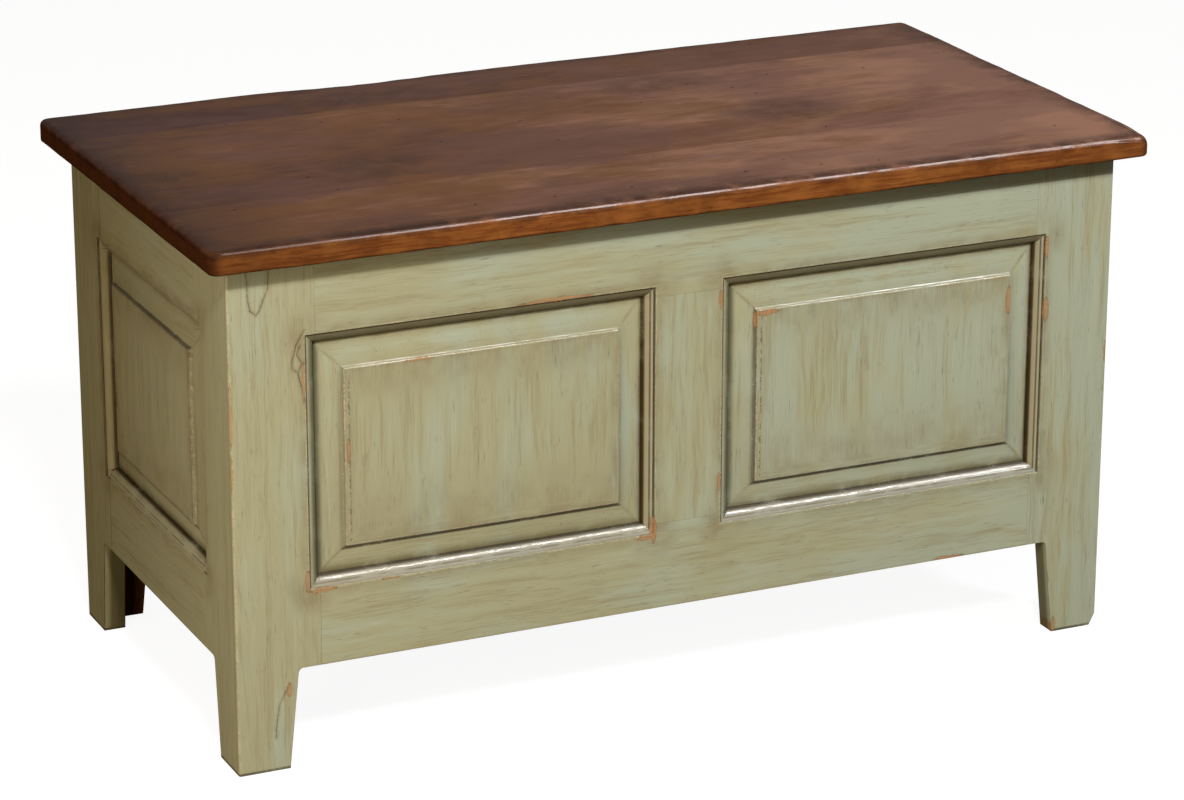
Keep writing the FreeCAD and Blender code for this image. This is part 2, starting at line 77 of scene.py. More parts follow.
left_face = box_mm("left_front_stile")[0].x
front_face = box_mm("front_left_stile")[0].y
back_face = box_mm("back_left_stile")[1].y
case_top = box_mm("front_left_stile")[1].z
rail_underside = box_mm("front_bottom_rail")[0].z
board_thickness = box_mm("front_left_stile")[1].y - front_face
half_width = -left_face
half_depth = back_face
print(f"case {2 * half_width:.0f} x {2 * half_depth:.0f} mm, top at {case_top:.1f} mm")

# %% [markdown]
# A panel's tongue runs into the groove around its opening. The groove is as
# deep as the moulding is wide, so its bottom lies where the moulding starts,
# and the tongue stops a little short of it. Most of the glaze and wear
# gathers along that line. The back has plain openings, one moulding's width
# smaller, and flat panels.

# %% Find the openings
TONGUE_GAP = 1.5
MOULDING = 10.0
FIELD_MARGIN = 36.5


def opening_of(panel, axis, grow):
    """Middle and half size of a panel's opening, along one axis and up."""
    low, high = box_mm(panel)
    low_along, high_along = low[axis] - grow, high[axis] + grow
    low_up, high_up = low.z - grow, high.z + grow
    middle = ((low_along + high_along) / 2, (low_up + high_up) / 2)
    half = ((high_along - low_along) / 2, (high_up - low_up) / 2)
    return middle, half


front_opening = opening_of("front_right_panel", 0, TONGUE_GAP)
side_opening = opening_of("left_panel", 1, TONGUE_GAP)
back_opening = opening_of("back_right_panel", 0, TONGUE_GAP - MOULDING)
print("front opening", front_opening, "side opening", side_opening)

# %% [markdown]
# ## Camera
#
# The photograph was taken with a long lens from the front left, a little
# above the lid. A long lens keeps the sides of the chest nearly parallel.

# %% Place the camera
CAMERA_PLACE = Vector((-1.6508, -3.6131, 1.6023))
CAMERA_TURN = (1.2390, -0.0012, -0.4285)
LENS_MM = 128.76

camera = bpy.data.objects.new("camera", bpy.data.cameras.new("camera"))
camera.location = CAMERA_PLACE
camera.rotation_euler = CAMERA_TURN
camera.data.lens = LENS_MM
camera.data.sensor_width = 36.0
camera.data.sensor_fit = "HORIZONTAL"
bpy.context.scene.collection.objects.link(camera)
bpy.context.scene.camera = camera
bpy.context.scene.view_settings.view_transform = "Standard"
print(f"camera {CAMERA_PLACE.length:.2f} m from the middle of the chest")

# %% [markdown]
# ## Writing a material as sums
#
# A finish such as worn paint is a long chain of small sums: how far is this
# point from the edge, how streaky is the brush mark here. Placing a Math node
# for each would hide the idea. So one small class wraps a node's output and
# lets Python's own signs add the nodes, and `1 - mask` works as it reads.


# %% Wrap a socket so that it takes part in sums
def joined(operation, swapped=False):
    """A method that joins two values by one Math operation, in either order."""
    def method(self, other):
        values = (other, self) if swapped else (self, other)
        return self.maths(operation, *values)
    return method


class Wire:
    """One node's output, for use in sums."""

    def __init__(self, finish, socket):
        self.finish = finish
        self.socket = socket

    def maths(self, operation, *values):
        sockets = dict(enumerate(values))
        return self.finish.node("ShaderNodeMath", {"operation": operation}, sockets)

    __add__, __radd__ = joined("ADD"), joined("ADD", swapped=True)
    __sub__, __rsub__ = joined("SUBTRACT"), joined("SUBTRACT", swapped=True)
    __mul__, __rmul__ = joined("MULTIPLY"), joined("MULTIPLY", swapped=True)
    __truediv__, __rtruediv__ = joined("DIVIDE"), joined("DIVIDE", swapped=True)
    __pow__ = joined("POWER")
    least = joined("MINIMUM")
    most = joined("MAXIMUM")

    def __abs__(self):
        return self.maths("ABSOLUTE", self)


# %% [markdown]
# The finish itself makes every other node through one method. It takes the
# node's type, its settings, which are set first, and what goes into its
# sockets, each a number, a colour or a wire.


# %% Make nodes for one finish
def linear(code):
    """A colour from its six hex digits, as linear values."""
    channels = [int(code[i:i + 2], 16) / 255 for i in (0, 2, 4)]
    curve = [c / 12.92 if c <= 0.04045 else ((c + 0.055) / 1.055) ** 2.4 for c in channels]
    return (*curve, 1.0)


class Finish:
    """A material or a world, and the few kinds of node that its recipe needs."""

    def __init__(self, name, owners=bpy.data.materials):
        self.owner = owners.new(name)
        self.owner.use_nodes = True
        self.tree = self.owner.node_tree
        self.tree.nodes.clear()
        self.place = self.scaled(self.node("ShaderNodeTexCoord", output="Object"), (1 / MM,) * 3)
        self.x, self.y, self.z = (self.node("ShaderNodeSeparateXYZ", sockets={0: self.place}, output=i)
                                  for i in range(3))

    def node(self, kind, settings=None, sockets=None, output=0):
        """Any node: its type, its settings, and what goes into its sockets."""
        made = self.tree.nodes.new(kind)
        for key, value in (settings or {}).items():
            setattr(made, key, value)
        for key, value in (sockets or {}).items():
            if isinstance(value, Wire):
                self.tree.links.new(value.socket, made.inputs[key])
            else:
                made.inputs[key].default_value = value
        return Wire(self, made.outputs[output]) if made.outputs else None

    def scaled(self, vector, factors):
        """A vector with each part multiplied."""
        settings = {"operation": "MULTIPLY"}
        return self.node("ShaderNodeVectorMath", settings, {0: vector, 1: factors})

    def shifted(self, vector, step):
        """A vector with a fixed step added."""
        return self.node("ShaderNodeVectorMath", {"operation": "ADD"}, {0: vector, 1: step})

    def wander(self, length, reach):
        """The place pushed about by soft noise, so that long marks aren't ruler straight."""
        even = self.scaled(self.place, (1 / length,) * 3)
        sockets = {"Vector": even, "Scale": 1.0, "Detail": 1.0}
        drift = self.node("ShaderNodeTexNoise", sockets=sockets, output=1)
        drift = self.scaled(self.shifted(drift, (-0.5,) * 3), (reach,) * 3)
        return self.node("ShaderNodeVectorMath", {"operation": "ADD"}, {0: self.place, 1: drift})

    def cloud(self, lengths, detail=3.0, roughness=0.5, step=(0.0, 0.0, 0.0), place=None):
        """Soft noise from about 0.25 to 0.75, with its own length along each axis in mm."""
        place = self.shifted(place or self.place, step)
        vector = self.scaled(place, [1 / length for length in lengths])
        sockets = {"Vector": vector, "Scale": 1.0, "Detail": detail, "Roughness": roughness}
        return self.node("ShaderNodeTexNoise", sockets=sockets)

    def fade(self, value, start, end):
        """0 where a value is at its start and before, 1 at its end and after."""
        sockets = {0: value, 1: start, 2: end, 3: 0.0, 4: 1.0}
        return self.node("ShaderNodeMapRange", {"interpolation_type": "SMOOTHSTEP"}, sockets)

    def blend(self, factor, under, over, way="MIX"):
        """One colour laid over another by a factor."""
        settings = {"data_type": "RGBA", "blend_type": way, "clamp_factor": True}
        return self.node("ShaderNodeMix", settings, {0: factor, 6: under, 7: over}, output=2)

    def bump(self, height_mm):
        """The shading normal for a height in millimetres."""
        sockets = {"Strength": 1.0, "Distance": MM, "Height": height_mm}
        return self.node("ShaderNodeBump", sockets=sockets)

    def surface(self, **sockets):
        """Finish with one Principled shader. Sockets are named with _ for spaces."""
        named = {key.replace("_", " "): value for key, value in sockets.items()}
        shader = self.node("ShaderNodeBsdfPrincipled", sockets=named)
        self.node("ShaderNodeOutputMaterial", sockets={"Surface": shader})
        return self.owner

    def washed(self, amount, colour, tint):
        """A colour darkened by a tint, as a thin wash over it does."""
        return self.blend(amount, colour, self.blend(1.0, colour, tint, "MULTIPLY"))

    def seen(self):
        """1 for what the camera, a reflection or a clear surface shows, 0 for plain light."""
        rays = [self.node("ShaderNodeLightPath", output=f"Is {kind} Ray")
                for kind in ("Camera", "Glossy", "Transmission")]
        return rays[0].most(rays[1]).most(rays[2])


print("finish recipes ready")

# %% [markdown]
# ## Painted wood
#
# The maker brushed sage green paint on, rubbed a brown glaze into it along
# the grain, and sanded the edges. The brush runs up the stiles and the fields
# and along the rails. The glaze stays in the quirks and corners as a dark
# line, and gathers in streaks near the ends of each field. Where an edge was
# sanded, orange wood shows inside a thin dark rim.
#
# All of this could be painted by hand on an image. Here it is worked out from
# the distance to the nearest edge, so that it stays sharp at any zoom and
# needs no picture.

# %% Colours of the paint, the glaze, the painted light and shade, and the wood below
SAGE_YELLOW = linear("a5a282")
SAGE_GREEN = linear("a6ab95")
SAGE_PALE = linear("babaa3")
GLAZE = linear("827352")
DARK_GLAZE = linear("35291a")
# Tan glaze that is painted lighter where a moulding faces the lamps.
LIT_TAN_GLAZE = linear("9f9678")
SHADE_GLAZE = linear("5d5538")
SHADE_DEEP = linear("4a3a20")
# Painted shade with glaze, for corners turned from the lamps.
CORNER_SHADE_GLAZE = linear("5b5a40")
# Painted shadow under the lid's overhang.
PAINTED_LID_SHADOW = linear("5c5548")
# Painted sheen on the bottom bead.
BEAD_SHEEN = linear("a8a19c")
# Painted shade towards the back of the side walls.
END_SHADE = linear("b8ac8c")
RUBBED_WOOD = linear("b3885f")
RUBBED_DARK = linear("9a7350")
RUBBED_RIM = linear("76583a")
PALE_ARRIS = linear("c6b795")
STAIN_DARK = linear("2f1a0e")
STAIN_LIGHT = linear("553219")

# %% [markdown]
# The places where the paint is rubbed through are part of this chest's
# history, so they are listed one by one: across from the middle of the front,
# up from the floor, and half their width and height, in millimetres.

# %% Where the front is rubbed through
RUBBED_FRAME = [
    (-385.5, 182.0, 3.2, 11.0),
    (-371.0, 171.5, 15.0, 2.6),
    (-36.0, 178.0, 3.6, 15.0),
    (-43.0, 171.5, 11.0, 2.6),
    (-136.0, 420.5, 42.0, 2.0),
    (-385.6, 376.0, 1.4, 20.0),
    (384.8, 405.0, 2.2, 13.0),
    (386.0, 342.0, 3.4, 14.0),
    (456.2, 290.0, 2.4, 13.0),
    (407.5, 7.0, 2.6, 11.0),
    (33.0, 399.0, 2.4, 10.0),
    (32.8, 217.0, 2.2, 9.0),
    (286.0, 99.5, 18.0, 2.0),
    (-406.0, 79.0, 3.0, 8.0),
    (-456.0, 352.0, 1.2, 34.0),
    (-456.2, 296.0, 0.9, 20.0),
]
RUBBED_FIELD = [
    (81.5, 379.6, 13.5, 3.2),
    (70.9, 373.0, 1.9, 10.0),
    (344.5, 357.0, 3.4, 16.0),
    (-272.0, 381.5, 15.0, 1.4),
    (-343.0, 303.0, 2.0, 12.0),
]


def rubbed(spots, across, up):
    """How deep inside a rubbed spot a point is: 1 in the middle, 0 at its edge."""
    deepest = None
    for spot_across, spot_up, half_across, half_up in spots:
        far_across = abs(across - spot_across) / half_across
        far_up = abs(up - spot_up) / half_up
        depth = 1 - (far_across * far_across + far_up * far_up)
        deepest = depth if deepest is None else deepest.most(depth)
    return deepest


# %% [markdown]
# The maker also pressed a few fine cracks into the paint of the left post.
# Each is a path of points, and the crack is what lies near the path.

# %% Where the paint is cracked
CRACKS = [
    [(-438.1, 484.0), (-437.0, 459.6), (-434.9, 449.0), (-429.4, 443.6), (-425.9, 447.8),
     (-418.0, 468.3), (-416.6, 484.0)],
    [(-384.5, 424.3), (-391.6, 411.2), (-396.7, 395.9), (-396.9, 389.3), (-390.8, 384.6),
     (-387.9, 372.0), (-385.5, 356.0)],
    [(-390.8, 384.6), (-386.8, 392.7), (-391.3, 401.8), (-388.0, 410.0)],
    [(-405.0, 84.3), (-412.6, 72.7), (-416.8, 64.4), (-418.6, 48.7), (-419.9, 32.9)],
]


def near_paths(paths, across, up):
    """How far a point is from the nearest of some paths, in millimetres."""
    nearest = None
    for path in paths:
        for (from_across, from_up), (to_across, to_up) in zip(path, path[1:]):
            long = math.hypot(to_across - from_across, to_up - from_up)
            way_across, way_up = (to_across - from_across) / long, (to_up - from_up) / long
            step_across, step_up = across - from_across, up - from_up
            along = step_across * way_across + step_up * way_up
            beyond = along - along.most(0.0).least(long)
            off = step_across * way_up - step_up * way_across
            far = (off * off + beyond * beyond) ** 0.5
            nearest = far if nearest is None else nearest.least(far)
    return nearest


# %% [markdown]
# Every mark in the paint is placed by its distance from the edges of the
# wall's opening. This small class works those distances out for one wall.


# %% Measure a point of a wall
class Wall:
    """Where a point lies on one wall of the case, in millimetres."""

    def __init__(self, finish, name):
        self.name = name
        self.long = name in ("front", "back")
        run = finish.x if self.long else finish.y
        if name == "front":
            self.depth = finish.y - front_face
        elif name == "back":
            self.depth = back_face - finish.y
        else:
            self.depth = half_width - abs(finish.x)
        middle, half = {"front": front_opening, "back": back_opening}.get(name, side_opening)
        across = abs(run) - middle[0] if self.long else run - middle[0]
        if self.long:
            self.rightward = across * finish.node("ShaderNodeMath", {"operation": "SIGN"}, {0: run})
        else:
            self.rightward = -1 * across
        self.half_across = half[0]
        self.half_up = half[1]
        self.up = finish.z - middle[1]
        self.beside = abs(across) - half[0]
        self.above = abs(self.up) - half[1]
        self.outside = self.beside.most(self.above)
        self.inward = -1 * self.outside - FIELD_MARGIN
        self.lean = finish.fade(finish.x, -430.0, 430.0) if self.long else 0.0

    def lengths(self, grain, fine, long):
        """Noise lengths along X, Y and Z: fine across the grain, long along it."""
        if grain == "up":
            return (fine, fine, long)
        return (long, fine, fine) if self.long else (fine, long, fine)


# %% [markdown]
# The brush went up the stiles and the fields, and along the rails. On a
# panel's margin it followed the edge, so the marks turn where the margin
# does, and the last stroke along the foot of a field is level too.


# %% Brush marks
def brush_marks(f, wall, grain, raised):
    """Wide and fine brush marks, and short dashes, along the grain."""
    loose = f.wander(70.0, 7.0)

    def marks(way):
        wide = f.cloud(wall.lengths(way, 11.0, 210.0), roughness=0.6, place=loose)
        fine = f.cloud(wall.lengths(way, 1.5, 55.0), roughness=0.6, step=(31.0, 17.0, 5.0), place=loose)
        return wide, fine

    wide, fine = marks(grain)
    if raised:
        level_wide, level_fine = marks("along")
        reach = wall.above + f.fade(wall.up, 0.0, -1.0) * 11.0
        turn = f.fade(wall.above - wall.beside, -1.5, 1.5)
        turn = turn * f.fade(reach, -FIELD_MARGIN - 1.0, -FIELD_MARGIN + 1.0)
        wide = wide + (level_wide - wide) * turn
        fine = fine + (level_fine - fine) * turn
    dashes = f.cloud(wall.lengths(grain, 0.9, 17.0), detail=2.0, step=(7.0, 91.0, 53.0), place=loose)
    return wide, fine, dashes


def paint_marks(f, wall, grain, raised):
    """Every noise that the paint of one piece is mixed from."""
    wide, fine, dashes = brush_marks(f, wall, grain, raised)
    blotch = f.cloud((24.0,) * 3, detail=4.0, step=(3.0, 8.0, 40.0))
    return SimpleNamespace(
        wide=wide, fine=fine, dashes=dashes, blotch=blotch,
        crumbs=f.cloud((2.4,) * 3, roughness=0.65),
        patches=f.cloud(wall.lengths(grain, 55.0, 170.0), detail=2.0),
        wiped=f.cloud(wall.lengths("along", 1.0, 11.0), roughness=0.7),
        sanding=f.cloud((45.0,) * 3, step=(12.0, 5.0, 77.0)),
        pores=f.fade(dashes, 0.62, 0.74) * f.fade(blotch, 0.44, 0.58))


# %% [markdown]
# The glaze is a thin brown wash. It stays in a broad haze where the brush
# turned round, near the ends and edges of a field, along its mitres and in
# the corners of the frame, and in a dark line in each quirk and around each
# foot. The dark line under a field's lower edge is mostly a painted shadow
# of its shoulder. A flat panel has no field, so it only has the haze and the
# line beside the frame.


# %% Where the glaze gathers on a panel
def glaze_on_flat_panel(f, wall):
    """Haze and dark line beside the frame of a flat panel, which has no edge or gloss."""
    return SimpleNamespace(haze=f.fade(wall.outside, -26.0, 0.0) * 0.9,
                           line=f.fade(wall.outside, -1.8, -0.4), arris=0.0, gloss=0.0)


def glaze_on_raised_panel(f, wall):
    """Haze, dark lines and edge of a raised panel."""
    field = f.fade(wall.inward, -0.4, 0.4)
    from_top = -1 * wall.above - FIELD_MARGIN
    half_field_up = wall.half_up - FIELD_MARGIN
    ends = f.fade(from_top, 48.0, 0.0).most(f.fade(wall.up, -10.0, -half_field_up) * 0.9) * field
    edges = f.fade(wall.inward, 16.0, 0.0) * field
    margin = f.fade(wall.inward, -12.0, -1.0) * (1 - field) * 0.35
    beside_frame = f.fade(wall.outside, -19.0, -11.0) * 0.9
    mitre = f.fade(abs(wall.beside - wall.above), 4.0, 0.0) * (1 - field) * 0.7
    haze = (ends * 0.65).most(edges * 0.85).most(margin).most(beside_frame).most(mitre)
    from_left = wall.rightward + wall.half_across - FIELD_MARGIN
    beside_field = f.fade(wall.above - wall.beside, 0.5, -0.5)
    # The foot line is strongest under the field's lower edge: a painted shadow of its shoulder, in the
    # glaze line.
    foot = f.fade(abs(wall.inward + 1.8), 3.0, 1.5) * f.fade(wall.up, half_field_up, 0.0)
    foot = foot * (1 - beside_field * 0.8)
    ragged = f.cloud((5.0, 5.0, 5.0), detail=4.0, roughness=0.7)
    crackle = f.fade(abs(from_left - 5.5 + (ragged - 0.5) * 7.0), 1.0, 0.3)
    crackle = crackle * f.fade(ragged, 0.42, 0.56) * (0.9 if wall.long else 0.5)
    edge_line = f.fade(abs(from_left + 0.7 + (ragged - 0.5) * 1.6), 1.5, 0.6)
    crackle = crackle.most(edge_line * (0.45 + f.fade(f.x, -200.0, 60.0) * 0.55))
    crackle = crackle * beside_field
    line = foot.most(f.fade(wall.outside, -12.2, -10.6)).most(crackle * 0.9)
    if not wall.long:
        from_right = -1 * wall.rightward + wall.half_across - FIELD_MARGIN
        lip = f.fade(abs(from_right - 0.4), 2.8, 1.6) * beside_field
        line = line.most(lip * f.fade(ragged, 0.34, 0.5) * 0.5)
        ledge = f.fade(abs(from_top - 0.5 + (ragged - 0.5) * 3.0), 1.9, 0.7)
        line = line.most(ledge * f.fade(wall.beside - wall.above, 0.5, -0.5) * 0.9)
    arris = f.fade(abs(wall.inward - 0.7), 1.3, 0.2)
    pale_band = f.fade(abs(from_left - 2.5), 3.2, 1.8) * beside_field
    arris = arris.most(pale_band * (0.45 if wall.long else 0.3))
    gloss = f.fade(abs(wall.inward), 2.2, 1.2)
    return SimpleNamespace(haze=haze, line=line, arris=arris, gloss=gloss)


# %% Where the glaze gathers on the frame
def glaze_on_frame(f, wall, grain):
    """Haze, dark lines and edges of the stiles, rails and muntins."""
    on_face = f.fade(wall.depth, 1.2, 0.3)
    moulding = f.fade(wall.outside, 0.2, -0.4)
    corner = (wall.beside * wall.beside + wall.above * wall.above) ** 0.5
    haze = f.fade(wall.outside, 14.0, 0.0) * on_face * 0.75
    haze = haze.most(f.fade(corner, 34.0, 4.0) * 0.8 * on_face)
    haze = haze.most(moulding * (0.35 + f.fade(wall.outside, -5.0, -9.0) * 0.5))
    lower_bead = f.fade(wall.above - wall.beside, -0.4, 0.4) * f.fade(wall.up, 1.0, -1.0)
    line = f.fade(abs(wall.outside + 0.7), 1.3, 0.4) * (1 - lower_bead * 0.8)
    line = line.most(f.fade(wall.outside, -8.6, -9.7))
    arris = f.fade(abs(wall.outside - 0.6), 1.2, 0.2) * on_face
    post = ((half_width - abs(f.x)) ** 2.0 + (half_depth - abs(f.y)) ** 2.0) ** 0.5
    arris = arris.most(f.fade(post, 2.8, 1.3))
    if grain == "along":
        low_edge = f.fade(f.z - rail_underside, 2.2, 0.2) * on_face
        haze = haze.most(low_edge)
        arris = arris.most(f.fade(f.z - rail_underside, 1.2, 0.3) * on_face * 0.8)
    else:
        line = line.most(f.fade(f.z, 3.2, 2.2))
    return SimpleNamespace(haze=haze, line=line, arris=arris, gloss=moulding)


# %% [markdown]
# The four mouldings around an opening took the glaze differently, and each
# also carries painted light and shade for the way it faces. The top one faces
# down and is a dark band of painted shade over pooled glaze. The one that
# faces the lamps, on the right at the front, has tan glaze painted lighter,
# as if lit, between dark lines. The bottom one carries a painted sheen, pale
# grey. The one turned from the lamps and the panel beside it get painted
# shade with glaze in the corner, and the panel's margin above the bottom
# moulding gets painted shade too. The back has no mouldings, so it is left
# out.


# %% Tint the mouldings
def tint_mouldings(f, wall, colour, blotch):
    """The colour with each moulding's own share of glaze, and the painted light, shade and sheen that
    go with the way it faces.
    """
    beside = f.fade(wall.beside - wall.above, -0.4, 0.4)
    lit = f.fade(wall.rightward, -1.0, 1.0) if wall.long else f.fade(wall.rightward, 1.0, -1.0)
    high = f.fade(wall.up, -1.0, 1.0)
    bead = f.fade(wall.outside, 0.0, -0.8) * f.fade(wall.outside, -10.8, -10.2)
    on_panel = f.fade(wall.outside, -10.2, -10.8)
    pooled = f.fade(blotch, 0.28, 0.52)
    # Painted shade over pooled glaze on the top moulding, which faces down.
    colour = f.blend(bead * (1 - beside) * high * (0.95 if wall.long else 0.3), colour, SHADE_GLAZE)
    # Painted sheen, pale grey, on the bottom bead.
    colour = f.blend(bead * (1 - beside) * (1 - high) * (0.5 if wall.long else 0.1), colour, BEAD_SHEEN)
    quirk = f.fade(abs(wall.outside + 4.4), 1.2, 0.4) * (1 - beside) * (1 - high)
    quirk = quirk * f.fade(blotch, 0.34, 0.56)
    colour = f.blend(quirk * 0.55, colour, SHADE_GLAZE)
    # Tan glaze painted lighter, as if lit, on the moulding that faces the lamps.
    colour = f.blend(bead * beside * lit * (0.75 if wall.long else 0.35), colour, LIT_TAN_GLAZE)
    if wall.long:
        edges = f.fade(wall.outside, -8.0, -9.2).most(f.fade(wall.outside, -2.2, -1.0)) * bead
        middle = f.fade(abs(wall.outside + 4.6), 1.1, 0.5) * 0.8
        edges = (edges.most(middle) * beside * lit).most(edges * (1 - beside) * high)
        colour = f.blend(edges * (0.65 + pooled * 0.3), colour, SHADE_DEEP)
    # Painted shade with glaze in the corner turned from the lamps, on the moulding and the panel.
    corner = f.fade(wall.outside, -2.0, -6.0) * f.fade(wall.outside, -17.5, -12.0)
    colour = f.blend(corner * beside * (1 - lit) * (0.55 + pooled * 0.25), colour, CORNER_SHADE_GLAZE)
    # Painted shade on the panel's margin above the bottom moulding.
    low = on_panel * (1 - beside) * (1 - high) * f.fade(wall.outside, -24.0, -11.0)
    return f.blend(low * (0.22 + pooled * 0.36), colour, SHADE_GLAZE)


# %% [markdown]
# Now the coats go on in the maker's order: two sages, the glaze in streaks
# and hazes, the dark pores, the pale bloom on the edges, and the dark lines.

# %% Lay on the coats
def coats(f, wall, marks, glaze):
    """Two sages under brown glaze, with its pores, pale edges and dark lines."""
    green = f.fade(marks.patches + (wall.lean - 0.5) * 0.26 + (marks.wide - 0.5) * 0.5, 0.36, 0.66)
    colour = f.blend(green * (1.0 if wall.long else 0.5), SAGE_YELLOW, SAGE_GREEN)
    pale_strokes = f.fade(marks.wide * 0.4 + marks.fine * 0.6, 0.54, 0.70)
    colour = f.blend(pale_strokes * 0.35, colour, SAGE_PALE)
    streaks = f.fade(1 - marks.wide * 0.50 - marks.fine * 0.50, 0.48, 0.65)
    gather = f.fade(marks.blotch * 0.35 + marks.fine * 0.35 + marks.wide * 0.3, 0.36, 0.60)
    gather = glaze.haze * gather
    colour = f.blend((streaks * 0.38).most(gather * 0.85), colour, GLAZE)
    colour = f.blend(marks.pores * 0.44, colour, DARK_GLAZE)
    pale = glaze.arris * f.fade(marks.blotch * 0.4 + marks.crumbs * 0.6, 0.46, 0.58)
    colour = f.blend(pale * (0.6 if wall.name == "front" else 0.35), colour, PALE_ARRIS)
    if wall.name != "back":
        colour = tint_mouldings(f, wall, colour, marks.blotch)
    return f.blend(glaze.line * 0.72, colour, DARK_GLAZE)


# %% [markdown]
# The sanding takes all of the coats away. It breaks through in the listed
# places of the front, and on every wall where the edges stand proud and a
# broad noise says so. A thin dark rim runs around each bare place, and fine
# marks leave a little paint on the wood, more of it on the left post.

# %% Crack the paint and sand it
def cracked(f, marks, colour, ripple, drift):
    """The frame's paint with its fine cracks, each in a faint brown halo."""
    crack = near_paths(CRACKS, f.x + drift * 0.6 + ripple * 0.3, f.z + ripple * 0.4)
    broken = f.fade(marks.crumbs * 0.6 + marks.blotch * 0.4, 0.36, 0.52)
    colour = f.blend(f.fade(crack, 3.2, 0.4) * 0.25, colour, RUBBED_RIM)
    return f.blend(f.fade(crack, 0.4 + broken * 0.5, 0.1) * broken * 0.6, colour, DARK_GLAZE)


def sanded(f, wall, panel, marks, glaze, colour):
    """The paint with bare wood where it was sanded through, and how bare it is."""
    rare = 0.70 if wall.name == "front" else 0.66
    worn = glaze.arris * f.fade(marks.sanding, rare, rare + 0.06)
    left_post = 0.0
    if wall.name == "front":
        left_post = f.fade(f.x, -330.0, -400.0)
        ripple = (marks.crumbs - 0.5) * 5.0
        drift = (marks.blotch - 0.5) * 6.0
        spots = RUBBED_FIELD if panel else RUBBED_FRAME
        worn = worn.most(rubbed(spots, f.x + ripple, f.z + ripple + drift))
        if not panel:
            colour = cracked(f, marks, colour, ripple, drift)
    ragged = worn + (marks.crumbs - 0.5) * 1.2
    bare = f.fade(ragged, 0.24, 0.38) * f.fade(worn, 0.05, 0.15)
    rim = f.fade(ragged, -0.06, 0.2) * f.fade(worn, 0.0, 0.1) * (1 - bare)
    colour = f.blend(rim * 0.8, colour, RUBBED_RIM)
    wood = f.blend(f.fade(marks.fine * 0.6 + marks.crumbs * 0.4, 0.42, 0.60), RUBBED_WOOD, RUBBED_DARK)
    thin = f.fade(marks.fine * 0.5 + marks.dashes * 0.5, 0.40, 0.56) * (0.25 + left_post * 0.30)
    return f.blend(bare * (1 - thin), colour, wood), bare


# %% [markdown]
# The paint ends at the inner faces, which are stained dark, and at the back
# of each panel. Shade is painted into the colour as well: on the frame's
# faces that lie deep behind its front, such as the legs' inner sides,
# darker towards the back of the side walls, and a painted shadow in a band
# under the lid, deeper towards the right. Plain soft lamps would not give it.

# %% Stain the inner faces and paint shade on the rest
PANEL_SKIN = 15.0
LIP_DEPTH = 11.5
SHADOW_BAND_END = 21.3
SHADOW_BAND_FULL = 19.5


def stained_inside(f, wall, panel, marks, colour):
    """Dark stain on the faces that look into the chest, and where they are."""
    skin = PANEL_SKIN if panel else board_thickness - 1.2
    inside = f.fade(wall.depth, skin, skin + 0.5)
    if not panel:
        lip = f.fade(wall.depth, LIP_DEPTH, LIP_DEPTH + 0.5) * f.fade(wall.outside, 1.0, 0.5)
        inside = inside.most(lip)
    stain = f.blend(f.fade(marks.wide * 0.5 + marks.fine * 0.5, 0.38, 0.62), STAIN_LIGHT, STAIN_DARK)
    return f.blend(inside, colour, stain), inside


def shaded(f, wall, panel, colour, inside):
    """Painted shade on the frame and the side walls, and the painted shadow under the lid."""
    if not panel:
        # Painted shade on the frame's faces that lie deep behind its front, such as the legs' inner
        # sides.
        within = f.fade(wall.depth, 2.5, 9.0) * (1 - inside) * 0.8
        colour = f.blend(within * f.fade(wall.outside, -1.0, 1.0), colour, SHADE_GLAZE)
    if not wall.long:
        # Painted shade: the side walls get darker towards the back.
        end_shade = 0.12 + f.fade(f.y, front_face, back_face) * 0.62
        colour = f.washed(end_shade, colour, END_SHADE)
    if wall.name == "front":
        # Painted shadow of the lid's overhang, deeper towards the right.
        lid_shadow = f.fade(f.z, case_top - SHADOW_BAND_END, case_top - SHADOW_BAND_FULL)
        colour = f.washed(lid_shadow * (wall.lean * 0.42 + 0.22), colour, PAINTED_LID_SHADOW)
    return colour


# %% [markdown]
# The mouldings and the shoulders of the fields were polished as the glaze was
# wiped off, so they carry a glossier coat than the flats, broken by fine
# marks along it. The brush marks also stand up a little.

